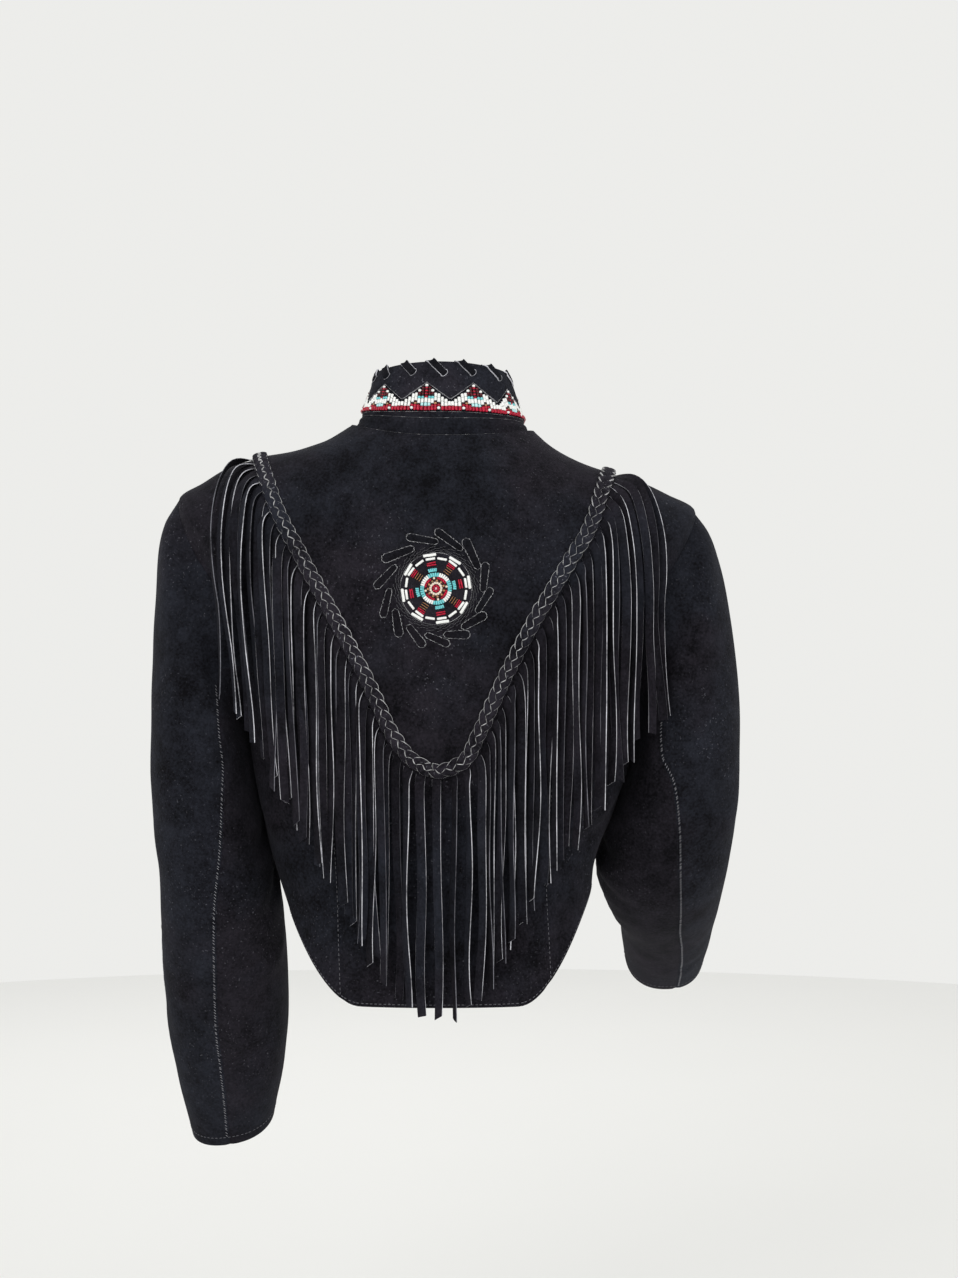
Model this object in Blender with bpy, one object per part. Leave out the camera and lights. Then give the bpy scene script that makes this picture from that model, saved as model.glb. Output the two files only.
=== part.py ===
# A cropped suede jacket of western cut, hollow and held as it is worn, with its arms in their pose.
# Frame: metres, +Z up, +X towards the wearer's left, +Y behind the wearer.
# The origin is the middle of the neck opening, where the shoulders carry the jacket.

import math
from collections import namedtuple

import bpy
import numpy as np
from mathutils import Vector
from mathutils.bvhtree import BVHTree

# Driving sizes.
SUEDE = 0.0018  # wall of the body, the sleeves and the collar
TRIM_SUEDE = 0.0015  # wall of the yoke and of the points on the collar
SEAM_GAP = 0.0004  # between two panels that a seam joins
ARMHOLE_GAP = 0.0007  # along the curve where a sleeve meets the body
LAY_GAP = 0.0005  # between a piece and the one that it lies on
YOKE_GAP = 0.0012  # between the yoke and the wider facets of the back
YOKE_NECK = 0.06  # ring number of the yoke's edge at the neck
YOKE_SIDE = 0.006  # and how far round from the shoulder seam its side edges lie
CENTRE_COLUMNS = 8  # of the back's middle panel
SIDE_COLUMNS = 5
FRONT_COLUMNS = 9
FRONT_GAP = 0.003  # between the two front edges, which meet and don't overlap

# Body rings, from the neck down to the hem. A ring passes the wearer's left and right side at
# (w_left, z_left) and (w_right, z_right), the centre back at (y_back, z_back) and the centre front
# at (y_front, z_front). n is how square it is, and the seam columns place the two back seams.
BodyRow = namedtuple(
    "BodyRow", "w_left z_left w_right z_right y_back z_back y_front z_front n seam_left seam_right"
)
BODY = [
    BodyRow(0.0806, 0.0070, 0.0830, 0.0000, 0.064, -0.009, -0.060, -0.068, 2.2, 0.050, 0.051),
    BodyRow(0.1120, -0.0105, 0.1050, -0.0190, 0.071, -0.024, -0.078, -0.086, 2.4, 0.064, 0.064),
    BodyRow(0.1350, -0.0185, 0.1260, -0.0300, 0.079, -0.041, -0.092, -0.102, 2.5, 0.074, 0.074),
    BodyRow(0.1600, -0.0240, 0.1520, -0.0390, 0.086, -0.061, -0.103, -0.120, 2.6, 0.084, 0.084),
    BodyRow(0.1900, -0.0310, 0.1800, -0.0450, 0.093, -0.085, -0.110, -0.139, 2.7, 0.092, 0.092),
    BodyRow(0.2180, -0.0460, 0.2070, -0.0575, 0.098, -0.111, -0.114, -0.157, 2.8, 0.098, 0.098),
    BodyRow(0.2400, -0.0620, 0.2310, -0.0735, 0.101, -0.135, -0.116, -0.173, 2.9, 0.102, 0.102),
    BodyRow(0.2350, -0.0920, 0.2260, -0.1010, 0.102, -0.155, -0.117, -0.188, 2.9, 0.104, 0.104),
    BodyRow(0.2210, -0.1280, 0.2130, -0.1340, 0.102, -0.179, -0.117, -0.206, 2.8, 0.104, 0.104),
    BodyRow(0.2060, -0.1660, 0.1990, -0.1700, 0.100, -0.205, -0.115, -0.228, 2.7, 0.102, 0.102),
    BodyRow(0.1900, -0.2080, 0.1860, -0.2100, 0.098, -0.233, -0.113, -0.250, 2.6, 0.100, 0.100),
    BodyRow(0.1765, -0.2500, 0.1760, -0.2500, 0.095, -0.263, -0.110, -0.272, 2.5, 0.098, 0.098),
    BodyRow(0.1700, -0.2880, 0.1690, -0.2880, 0.092, -0.294, -0.107, -0.298, 2.5, 0.096, 0.096),
    BodyRow(0.1610, -0.3350, 0.1570, -0.3350, 0.089, -0.336, -0.103, -0.337, 2.5, 0.092, 0.093),
    BodyRow(0.1510, -0.3750, 0.1450, -0.3720, 0.087, -0.374, -0.100, -0.375, 2.5, 0.089, 0.090),
    BodyRow(0.1395, -0.4100, 0.1380, -0.4000, 0.087, -0.412, -0.098, -0.404, 2.5, 0.087, 0.090),
    BodyRow(0.1395, -0.4420, 0.1370, -0.4160, 0.092, -0.512, -0.102, -0.444, 2.5, 0.084, 0.095),
]
WAIST_ROW = len(BODY) - 2
TAIL_REACH = 0.5  # share of the half width over which the back hem falls to its full length

# Armholes: from the shoulder point's ring to the armpit's, and how far round they reach.
TIP_ROW = 6
PIT_ROW = 11
BACK_REACH = math.radians(37)
FRONT_REACH = math.radians(35)
ARMHOLE_STEPS = 10  # on each side of an armhole

# The neckband and the collar, with the body's columns. They lean in towards their top edge.
COLLAR = [
    BodyRow(0.0800, 0.0078, 0.0822, 0.0008, 0.0635, -0.008, -0.0595, -0.067, 2.2, 0, 0),
    BodyRow(0.0720, 0.0170, 0.0750, 0.0100, 0.0610, 0.013, -0.0570, -0.048, 2.2, 0, 0),
    BodyRow(0.0665, 0.0310, 0.0690, 0.0250, 0.0570, 0.029, -0.0530, -0.033, 2.2, 0, 0),
    BodyRow(0.0640, 0.0450, 0.0655, 0.0400, 0.0535, 0.044, -0.0495, -0.019, 2.2, 0, 0),
    BodyRow(0.0620, 0.0550, 0.0625, 0.0520, 0.0505, 0.0565, -0.0460, -0.007, 2.2, 0, 0),
]
BAND_ROW = 1  # where the neckband ends and the collar starts

# Sleeve rings below the armhole. A ring passes (x_out, z_out) outside and (x_in, z_in) inside, its
# middle lies at y, and it reaches "back" and "front" from there. pitch is how far the arm has come
# forward there, and seam is where round the ring the back seam runs, both in degrees.
SleeveRow = namedtuple("SleeveRow", "x_out z_out x_in z_in y back front pitch seam")
LEFT_SLEEVE = [
    SleeveRow(0.2530, -0.083, 0.1785, -0.257, 0.000, 0.070, 0.068, 0, 122),
    SleeveRow(0.2585, -0.110, 0.1815, -0.267, 0.000, 0.074, 0.072, 0, 119),
    SleeveRow(0.2600, -0.150, 0.1835, -0.279, 0.002, 0.075, 0.073, 0, 117),
    SleeveRow(0.2630, -0.198, 0.1810, -0.295, 0.002, 0.074, 0.072, 0, 115),
    SleeveRow(0.2645, -0.250, 0.1770, -0.315, 0.003, 0.073, 0.071, 0, 113),
    SleeveRow(0.2645, -0.305, 0.1715, -0.339, 0.004, 0.070, 0.068, 2, 111),
    SleeveRow(0.2610, -0.365, 0.1640, -0.372, 0.004, 0.066, 0.064, 7, 106),
    SleeveRow(0.2570, -0.425, 0.1480, -0.420, -0.002, 0.062, 0.058, 14, 90),
    SleeveRow(0.2570, -0.487, 0.1415, -0.476, -0.018, 0.060, 0.056, 19, 82),
    SleeveRow(0.2570, -0.530, 0.1430, -0.521, -0.033, 0.057, 0.054, 20, 80),
    SleeveRow(0.2500, -0.590, 0.1490, -0.580, -0.054, 0.053, 0.050, 20, 79),
    SleeveRow(0.2390, -0.653, 0.1610, -0.642, -0.077, 0.046, 0.044, 20, 78),
]
RIGHT_SLEEVE = [
    SleeveRow(-0.2440, -0.094, -0.1780, -0.257, 0.000, 0.070, 0.068, 0, 122),
    SleeveRow(-0.2520, -0.115, -0.1810, -0.268, 0.000, 0.074, 0.072, 0, 119),
    SleeveRow(-0.2600, -0.145, -0.1800, -0.281, -0.001, 0.075, 0.073, 0, 117),
    SleeveRow(-0.2660, -0.187, -0.1785, -0.298, -0.002, 0.074, 0.072, 0, 115),
    SleeveRow(-0.2712, -0.233, -0.1755, -0.318, -0.005, 0.072, 0.070, 0, 111),
    SleeveRow(-0.2740, -0.285, -0.1670, -0.342, -0.010, 0.069, 0.067, 2, 106),
    SleeveRow(-0.2734, -0.335, -0.1530, -0.367, -0.018, 0.066, 0.063, 9, 93),
    SleeveRow(-0.2690, -0.380, -0.1450, -0.395, -0.037, 0.064, 0.060, 28, 84),
    SleeveRow(-0.2670, -0.411, -0.1500, -0.418, -0.072, 0.062, 0.057, 46, 80),
    SleeveRow(-0.2672, -0.445, -0.1690, -0.447, -0.130, 0.057, 0.053, 56, 78),
    SleeveRow(-0.2676, -0.479, -0.1777, -0.480, -0.185, 0.051, 0.049, 57, 76),
    SleeveRow(-0.2660, -0.510, -0.1850, -0.511, -0.232, 0.045, 0.044, 57, 76),
]
SLEEVE_SQUARENESS = 2.3
FRONT_SEAM = -126.0  # degrees round every ring
ARMHOLE_SEAM = 126.0  # where the back seam leaves the armhole

# The line that the braid follows over the back, from the left shoulder to the right one.
LinePoint = namedtuple("LinePoint", "x z")
YOKE_LINE = [
    LinePoint(0.168, -0.020),
    LinePoint(0.156, -0.044),
    LinePoint(0.141, -0.080),
    LinePoint(0.117, -0.124),
    LinePoint(0.086, -0.180),
    LinePoint(0.060, -0.231),
    LinePoint(0.039, -0.276),
    LinePoint(0.021, -0.297),
    LinePoint(0.001, -0.305),
    LinePoint(-0.021, -0.296),
    LinePoint(-0.035, -0.270),
    LinePoint(-0.053, -0.230),
    LinePoint(-0.080, -0.177),
    LinePoint(-0.105, -0.135),
    LinePoint(-0.131, -0.092),
    LinePoint(-0.144, -0.056),
    LinePoint(-0.153, -0.037),
]
BRAID_WIDTH = 0.0125
BRAID_LIFT = 0.0030  # from the body up to the braid's underside
BRAID_THICK = 0.0022
BRAID_PLAIT = 0.0014  # how far the crossing strands rise above that
BRAID_EDGE = 0.0005  # thickness of its two edges
BRAID_END = 0.004  # share of the braid's line left free at each shoulder seam
BRAID_MEETING = 0.001  # and on each side of the point where the two halves meet
PLAIT_LENGTH = 0.017  # along the braid from one strand's crossing to the next on the same side
PLAIT_STEPS = 2

# The fringe: flat strips cut from one band, whose uncut edge is the backing under the braid.
STRIPS_A_SIDE = 36
STRIP_WIDTH = 0.0072
STRIP_THICK = 0.0012
STRIP_LENGTH = 0.250  # beside the shoulders
STRIP_LENGTH_MIDDLE = 0.210  # and at the lowest point of the braid's line
STRIP_SPREAD = 0.006  # how much longer or shorter a strip may be
FRINGE_START = 0.022  # share of the braid's line before the first strip
BACKING_FROM = 0.0020  # below the braid's middle line
BACKING_TO = 0.0080
STRIP_CLEAR = 0.0076  # from the cloth to the middle of a strip that hangs free
STRIP_BEND = 0.013  # how quickly a strip turns down, as a radius
STRIP_TURN = math.radians(46)  # turned edge on, so that the strips nest beside each other
COMBED_BACK = 1.0  # pull towards the back where the cloth under a strip faces up
CLING = 0.35  # share of a strip's way off the cloth that is taken back at each step
LEFT_LEAN = -0.045  # the strips on the left hang a little towards the middle
HANG_STEPS = 80  # in tracing the line of a strip
STRIP_SHARES = (0, 0.035, 0.09, 0.16, 0.25, 0.42, 1.0)

# Beadwork and feathers on the yoke.
APPLIQUE_GAP = 0.0008
ROSETTE_X = 0.003
ROSETTE_Z = -0.1465
ROSETTE_PROFILE = (  # radius, and height over the cloth below it
    (0.0304, 0.0000),
    (0.0304, 0.0016),
    (0.0262, 0.0024),
    (0.0180, 0.0020),
    (0.0110, 0.0028),
    (0.0030, 0.0032),
)
ROSETTE_SIDES = 32
FEATHERS = 13
FEATHER_WIDTH = 0.0074
FEATHER_ROOT = 0.0370  # radius of the middle of its inner round end
FEATHER_TIP = 0.0485  # and of its outer one
FEATHER_SWING = math.radians(23)
POINTS_ROUND = 9  # leather points above the bead band
COLLAR_STEPS = 4 * POINTS_ROUND
POINTS_THICK = 0.0012
BAND_THICK = 0.0018
LINE_GAP = 0.03  # half the gap between points and beads, as a share of a ring
BAND_LOW = 0.011  # height of the bead band in a valley between two peaks
BAND_HIGH = 0.023
LACES = 15
LACE_WIDTH = 0.0085
LACE_THICK = 0.0010
LACE_DEPTH = 0.014  # from the collar's top edge down to the lace's slot
LACE_SLANT = 0.0085
LACE_OVER = 0.0009  # between the collar's top edge and the lace above it

MATERIALS = {
    "suede": ((0.020, 0.021, 0.026), 0.95),
    "suede_fringe": ((0.018, 0.019, 0.024), 0.93),
    "suede_braid": ((0.030, 0.031, 0.036), 0.92),
    "glass_beads": ((0.80, 0.84, 0.82), 0.25),
    "stitched_feather": ((0.012, 0.012, 0.016), 0.95),
}


def through(rows, v):
    """Smooth curves through the rows of an array, read at the row numbers v."""
    v = np.clip(v, 0, len(rows) - 1)
    rows = np.broadcast_to(rows, (len(rows),) + v.shape + (rows.shape[-1],))
    step = np.diff(rows, axis=0)
    before, after = step[:-1], step[1:]
    turning = before * after <= 0
    inner = np.where(turning, 0, 2 * before * after / np.where(turning, 1, before + after))
    tangent = np.concatenate([step[:1], inner, step[-1:]])
    low = np.minimum(v.astype(int), len(rows) - 2)
    t = (v - low)[..., None]
    low = low[None, ..., None]

    def pick(values, index):
        return np.take_along_axis(values, index, axis=0)[0]

    start, end = pick(rows, low), pick(rows, low + 1)
    rise = t * t * (3 - 2 * t)
    leave = t * (1 - t) ** 2 * pick(tangent, low)
    arrive = t * t * (t - 1) * pick(tangent, low + 1)
    return start + rise * (end - start) + leave + arrive


def table(rows):
    """A table as an array whose middle axis spreads over whatever is asked of it."""
    return np.array([tuple(row) for row in rows], float)


def ring_row(rows, v):
    flat = table(rows)
    flat = flat.reshape((len(flat),) + (1,) * np.ndim(v) + (flat.shape[-1],))
    return BodyRow(*np.moveaxis(through(flat, np.asarray(v, float)), -1, 0))


def ring_point(rows, angle, v):
    """The point at this angle round the ring at v: 0 is the left side, 90 degrees the centre back."""
    angle, v = np.broadcast_arrays(np.asarray(angle, float), np.asarray(v, float))
    row = ring_row(rows, v)
    cos, sin = np.cos(angle), np.sin(angle)
    size = (np.abs(cos) ** row.n + np.abs(sin) ** row.n) ** (1 / row.n)
    across, depth = cos / size, sin / size
    back = sin >= 0
    x = across * np.where(cos >= 0, row.w_left, row.w_right)
    y = np.abs(depth) * np.where(back, row.y_back, row.y_front)
    side = np.where(cos >= 0, row.z_left, row.z_right)
    middle = np.where(back, row.z_back, row.z_front)
    tail = np.sin(np.clip((1 - np.abs(across)) / TAIL_REACH, 0, 1) * math.pi / 2)
    near_hem = np.clip(v - WAIST_ROW, 0, 1) * back
    fall = depth**2 * (1 - near_hem) + tail * near_hem
    return np.stack([x, y, side + (middle - side) * fall], axis=-1)


def unit(vectors):
    return vectors / np.linalg.norm(vectors, axis=-1, keepdims=True)


def surface(point, a, b, outward=1):
    """Points of a surface and the unit normals that face away from the wearer."""
    small = 1e-4
    across = point(a + small, b) - point(a - small, b)
    down = point(a, b + small) - point(a, np.maximum(b - small, 0))
    return point(a, b), outward * unit(np.cross(down, across))


def body_surface(angle, v):
    return surface(lambda a, b: ring_point(BODY, a, b), angle, np.asarray(v, float))


def collar_surface(angle, v):
    return surface(lambda a, b: ring_point(COLLAR, a, b), angle, np.asarray(v, float), -1)


def side_angle(side, angle):
    """The same place on the left side (1) or mirrored onto the right side (-1)."""
    return angle if side > 0 else math.pi - angle


def armhole_point(side, turn):
    """The armhole's edge, where turn is 0 at the shoulder point and goes round by the back."""
    reach = np.where(np.sin(turn) >= 0, BACK_REACH, FRONT_REACH)
    v = TIP_ROW + (PIT_ROW - TIP_ROW) * (1 - np.cos(turn)) / 2
    return ring_point(BODY, side_angle(side, reach * np.sin(turn)), v)


def sleeve_point(side, turn, v):
    turn, v = np.broadcast_arrays(np.asarray(turn, float), np.asarray(v, float))
    cos, sin = np.cos(turn), np.sin(turn)
    n = SLEEVE_SQUARENESS
    size = (np.abs(cos) ** n + np.abs(sin) ** n) ** (1 / n)
    across, depth = cos / size, sin / size
    rings = [armhole_point(side, turn)]
    for row in LEFT_SLEEVE if side > 0 else RIGHT_SLEEVE:
        pitch = math.radians(row.pitch)
        reach = depth * np.where(depth >= 0, row.back, row.front)
        x = (row.x_out + row.x_in) / 2 + across * (row.x_out - row.x_in) / 2
        y = row.y + reach * math.cos(pitch)
        z = (row.z_out + row.z_in) / 2 + across * (row.z_out - row.z_in) / 2
        rings.append(np.stack([x, y, z - reach * math.sin(pitch)], axis=-1))
    return through(np.array(rings), v)


def sleeve_surface(side, turn, v):
    return surface(lambda a, b: sleeve_point(side, a, b), turn, v, side)


def back_row(x, z):
    """The ring number at which the back passes the height z at this x."""
    x, z = np.broadcast_arrays(np.asarray(x, float), np.asarray(z, float))
    low, high = np.zeros(x.shape), np.full(x.shape, float(WAIST_ROW))
    for _ in range(40):
        middle = (low + high) / 2
        row = ring_row(BODY, middle)
        width = np.where(x >= 0, row.w_left, row.w_right)
        outside = (np.abs(x) >= width) & (middle < TIP_ROW)
        above = ring_point(BODY, back_angle(x, middle), middle)[..., 2] > z
        further = outside | above
        low, high = np.where(further, middle, low), np.where(further, high, middle)
    return (low + high) / 2


def back_angle(x, v):
    """The angle round the ring at v that lies at this x on the back."""
    row = ring_row(BODY, v)
    across = np.clip(x / np.where(x >= 0, row.w_left, row.w_right), -1, 1)
    depth = (1 - np.abs(across) ** row.n) ** (1 / row.n)
    return np.arctan2(depth, across)


def on_back(x, z):
    v = back_row(x, z)
    return body_surface(back_angle(np.asarray(x, float), v), v)


def new_piece(name, points, faces, material):
    """One closed mesh. Its faces are turned round if they would face in."""
    points = np.asarray(points, float)
    volume = 0.0
    for face in faces:
        corner = points[list(face)]
        for i in range(1, len(face) - 1):
            volume += np.dot(corner[0], np.cross(corner[i], corner[i + 1]))
    if volume < 0:
        faces = [tuple(reversed(face)) for face in faces]
    mesh = bpy.data.meshes.new(name)
    mesh.from_pydata(points.tolist(), [], [tuple(int(i) for i in face) for face in faces])
    mesh.materials.append(material)
    mesh.shade_smooth()
    mesh.set_sharp_from_angle(angle=math.radians(40))
    piece = bpy.data.objects.new(name, mesh)
    bpy.context.scene.collection.objects.link(piece)
    return piece


def thick_patch(name, outer, inner, squares, material):
    """A sheet between two sets of points that share their faces, closed along its whole edge."""
    count = len(outer)
    sides = set()
    for face in squares:
        sides.update(zip(face, face[1:] + face[:1]))
    faces = [(face[0], face[k], face[k + 1]) for face in squares for k in range(1, len(face) - 1)]
    outside = len(faces)
    faces += [tuple(count + corner for corner in reversed(face)) for face in faces]
    faces += [(b, a, count + a, count + b) for a, b in sides if (b, a) not in sides]
    piece = new_piece(name, np.concatenate([outer, inner]), faces, material)
    piece["outside"] = outside
    return piece


def wall(name, outer, inner, material):
    """A panel between two grids of points."""
    rows, columns = outer.shape[:2]
    squares = []
    for i in range(rows - 1):
        for j in range(columns - 1):
            corner = i * columns + j
            squares.append([corner, corner + 1, corner + columns + 1, corner + columns])
    return thick_patch(name, outer.reshape(-1, 3), inner.reshape(-1, 3), squares, material)


def between(start, end, steps):
    """Evenly spaced values from start to end, in each row."""
    share = np.linspace(0, 1, steps + 1)
    start, end = np.asarray(start, float), np.asarray(end, float)
    return start[..., None] + (end - start)[..., None] * share


def armhole_edge(v, reach):
    share = np.clip((v - TIP_ROW) / (PIT_ROW - TIP_ROW), 0, 1)
    return reach * 2 * np.sqrt(share * (1 - share))


def body_rows():
    turn = np.linspace(0, math.pi, ARMHOLE_STEPS + 1)
    armhole = TIP_ROW + (PIT_ROW - TIP_ROW) * (1 - np.cos(turn)) / 2
    above = np.array([0, 0.8, 1.6, 2.4, 3.3, 4.2, 5.1])
    below = np.array([12, 13, 14, 15, 15.5, 16])
    return np.concatenate([above, armhole, below])


def step_angle(angle, v, distance):
    """How far to turn round a ring to move this distance along it."""
    small = 1e-3
    move = ring_point(BODY, angle + small, v) - ring_point(BODY, angle - small, v)
    return distance * 2 * small / np.linalg.norm(move, axis=-1)


def seam_angle(side, v):
    row = ring_row(BODY, v)
    return back_angle(row.seam_left if side > 0 else -row.seam_right, v)


def mitred(side, v, angle, normal):
    """Normals at an armhole's edge turned halfway to the sleeve's, where the two form a ridge."""
    share = np.clip((v - TIP_ROW) / (PIT_ROW - TIP_ROW), 0, 1)
    turn = np.arccos(1 - 2 * share) * np.where(np.sin(angle) >= 0, 1, -1)
    inside = (v >= TIP_ROW) & (v <= PIT_ROW)
    both = armhole_normal(side, turn)
    return np.where(inside[:, None], both, normal)


def armhole_normal(side, turn):
    reach = np.where(np.sin(turn) >= 0, BACK_REACH, FRONT_REACH)
    v = TIP_ROW + (PIT_ROW - TIP_ROW) * (1 - np.cos(turn)) / 2
    _, body = body_surface(side_angle(side, reach * np.sin(turn)), v)
    start, sleeve = sleeve_surface(side, turn, np.full(turn.shape, 0.02))
    away = unit(sleeve_point(side, turn, np.full(turn.shape, 0.2)) - start)
    ridge = (np.sum(away * body, axis=-1) < 0)[..., None]
    middle = unit(body + sleeve)
    middle = middle / np.maximum(np.sum(middle * body, axis=-1, keepdims=True), 0.5)
    return np.where(ridge, middle, np.nan)


def body_panel(name, side, start, end, steps, material, armhole=None):
    """A body panel between two angles. armhole says which of its edges an armhole cuts."""
    v = body_rows()
    angle = between(start(v), end(v), steps)
    rows = np.broadcast_to(v[:, None], angle.shape)
    outer, normal = body_surface(angle, rows)
    if armhole is not None:
        edge = mitred(side, v, angle[:, armhole], normal[:, armhole])
        normal[:, armhole] = np.where(np.isnan(edge), normal[:, armhole], edge)
    return wall(name, outer, outer - SUEDE * normal, material)


def back_panels(material):
    def seam(side, toward):
        def place(v):
            angle = seam_angle(side, v)
            return angle + toward * step_angle(angle, v, SEAM_GAP / 2)

        return place

    def edge(side):
        def place(v):
            outside = (v < TIP_ROW) | (v > PIT_ROW)
            angle = armhole_edge(v, BACK_REACH)
            angle = angle + outside * step_angle(0 * v, v, SEAM_GAP / 2)
            return side_angle(side, angle)

        return place

    return [
        body_panel("back_centre", 1, seam(1, 1), seam(-1, -1), CENTRE_COLUMNS, material),
        body_panel("back_side_left", 1, edge(1), seam(1, -1), SIDE_COLUMNS, material, armhole=0),
        body_panel("back_side_right", -1, seam(-1, 1), edge(-1), SIDE_COLUMNS, material, armhole=-1),
    ]


def front_panels(material):
    def edge(side):
        def place(v):
            outside = (v < TIP_ROW) | (v > PIT_ROW)
            angle = -armhole_edge(v, FRONT_REACH)
            angle = angle - outside * step_angle(0 * v, v, SEAM_GAP / 2)
            return side_angle(side, angle)

        return place

    def opening(side):
        def place(v):
            angle = np.full(v.shape, -math.pi / 2)
            return side_angle(side, angle + step_angle(angle, v, FRONT_GAP / 2))

        return place

    body_panel("front_left", 1, edge(1), opening(1), FRONT_COLUMNS, material, armhole=0)
    body_panel("front_right", -1, opening(-1), edge(-1), FRONT_COLUMNS, material, armhole=-1)


def sleeve_rows():
    return np.array([0, 0.5, 1, 1.7, 2.5, 3.5, 4.6, 5.7, 6.6, 7.3, 8, 8.7, 9.4, 10.2, 11.1, 12])


def sleeve_panel(name, side, start, end, steps, material):
    """Part of a sleeve, between two lines of seam, with its first ring just off the armhole."""
    v = sleeve_rows()
    turn = between(start(v), end(v), steps)
    rows = np.broadcast_to(v[:, None], turn.shape).copy()
    small = 0.02
    speed = sleeve_point(side, turn[0], small) - sleeve_point(side, turn[0], 0 * rows[0])
    rows[0] = ARMHOLE_GAP * small / np.linalg.norm(speed, axis=-1)
    outer, normal = sleeve_surface(side, turn, rows)
    _, near = sleeve_surface(side, turn[0], np.full(turn[0].shape, small))
    both = armhole_normal(side, turn[0])
    normal[0] = np.where(np.isnan(both), near, both)
    return wall(name, outer, outer - SUEDE * normal, material)


def sleeves(material):
    made = []
    for side, label, rows in ((1, "left", LEFT_SLEEVE), (-1, "right", RIGHT_SLEEVE)):
        places = np.array([[ARMHOLE_SEAM]] + [[row.seam] for row in rows])

        def line(value, toward):
            def place(v):
                turn = np.radians(value(v))
                small = 1e-3
                move = sleeve_point(side, turn + small, v) - sleeve_point(side, turn - small, v)
                shift = SEAM_GAP / 2 * 2 * small / np.linalg.norm(move, axis=-1)
                return turn + toward * shift

            return place

        def back_seam(v):
            return through(places[:, None, :], v)[..., 0]

        def front_seam(v):
            return np.full(v.shape, FRONT_SEAM)

        def front_again(v):
            return np.full(v.shape, FRONT_SEAM + 360)

        top = line(front_seam, 1), line(back_seam, -1)
        under = line(back_seam, 1), line(front_again, -1)
        made.append(sleeve_panel("sleeve_top_" + label, side, *top, 14, material))
        made.append(sleeve_panel("sleeve_under_" + label, side, *under, 6, material))
    return made


def collar_angles():
    """From the collar's left front edge round the back to its right front edge."""
    gap = FRONT_GAP / 2 / abs(COLLAR[0].y_front)
    return np.linspace(-math.pi / 2 + gap, 1.5 * math.pi - gap, COLLAR_STEPS + 1)


def collar_band(name, low, high, rows, lift, thick, material):
    """A band round the neck between two curves of ring number, lifted off the collar."""
    angle = collar_angles()
    v = between(low(angle), high(angle), rows).T
    base, normal = collar_surface(np.broadcast_to(angle, v.shape), v)
    return wall(name, base + (lift + thick) * normal, base + lift * normal, material)


def collar_height(v):
    """Height in metres up the collar's centre back at ring number v."""
    return ring_row(COLLAR, v).z_back - COLLAR[BAND_ROW].z_back


def ring_at_height(height):
    low, high = np.full(height.shape, float(BAND_ROW)), np.full(height.shape, 4.0)
    for _ in range(30):
        middle = (low + high) / 2
        below = collar_height(middle) < height
        low, high = np.where(below, middle, low), np.where(below, high, middle)
    return (low + high) / 2


def points_line(angle):
    """Ring number of the zigzag edge where the leather points meet the beads."""
    phase = (angle + math.pi / 2) / (2 * math.pi) * POINTS_ROUND
    rise = np.abs(2 * (phase - np.floor(phase)) - 1)
    return ring_at_height(BAND_HIGH + (BAND_LOW - BAND_HIGH) * rise)


def collar(suede, beads):
    top = len(COLLAR) - 1
    small = SEAM_GAP / 2 / (COLLAR[1].z_back - COLLAR[0].z_back)

    def level(v):
        return lambda angle: np.full(angle.shape, v)

    def above_line(angle):
        return points_line(angle) + LINE_GAP

    def below_line(angle):
        return points_line(angle) - LINE_GAP

    collar_band("neckband", level(0), level(BAND_ROW - small), 1, -SUEDE, SUEDE, suede)
    collar_band("collar", level(BAND_ROW + small), level(top), 3, -SUEDE, SUEDE, suede)
    foot = level(BAND_ROW + 2 * small)
    collar_band("collar_points", above_line, level(top), 2, LAY_GAP, POINTS_THICK, suede)
    collar_band("bead_band", foot, below_line, 1, LAY_GAP, BAND_THICK, beads)


def lace_turn(number):
    """Rings of a lace from its slot outside over the collar's top edge to the inside."""
    top = float(len(COLLAR) - 1)
    down = LACE_DEPTH / (COLLAR[-1].z_back - COLLAR[-2].z_back)
    outside = LAY_GAP + POINTS_THICK + LAY_GAP
    inside = -SUEDE - LAY_GAP - LACE_THICK
    start = -math.pi / 2 + (number + 0.5) / LACES * 2 * math.pi
    run = [  # ring number, lift off the collar, rise over its edge and share of the slant
        (top - down, outside, 0.0, 1.0),
        (top - down / 2, outside, 0.0, 0.5),
        (top, outside, LACE_OVER, 0.0),
        (top, inside, LACE_OVER, 0.0),
        (top - down / 2, inside, 0.0, 0.0),
    ]
    up = np.array([0, 0, 1.0])
    outer, inner = [], []
    for v, lift, rise, slant in run:
        near, _ = collar_surface(np.array([start]), v)
        radius = math.hypot(near[0, 0], near[0, 1])
        middle = start + slant * LACE_SLANT / radius
        half = LACE_WIDTH / 2 / radius
        base, normal = collar_surface(np.array([middle - half, middle + half]), np.full(2, v))
        place = base + lift * normal + rise * up
        through_lace = LACE_THICK * normal
        over = LACE_THICK * up if rise else 0
        if lift > 0:
            outer.append(place + through_lace + over)
            inner.append(place)
        else:
            outer.append(place + over)
            inner.append(place + through_lace)
    return np.array(outer), np.array(inner)


def collar_laces(material):
    """Flat lacing whipped over the collar's top edge, one piece for each turn that shows."""
    for number in range(LACES):
        wall(f"collar_lace_{number + 1:02d}", *lace_turn(number), material)


def yoke_outline():
    """The braid's middle line as many points, x and z."""
    fine = np.linspace(0, len(YOKE_LINE) - 1, 400)
    return through(table(YOKE_LINE)[:, None, :], fine).T


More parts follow.
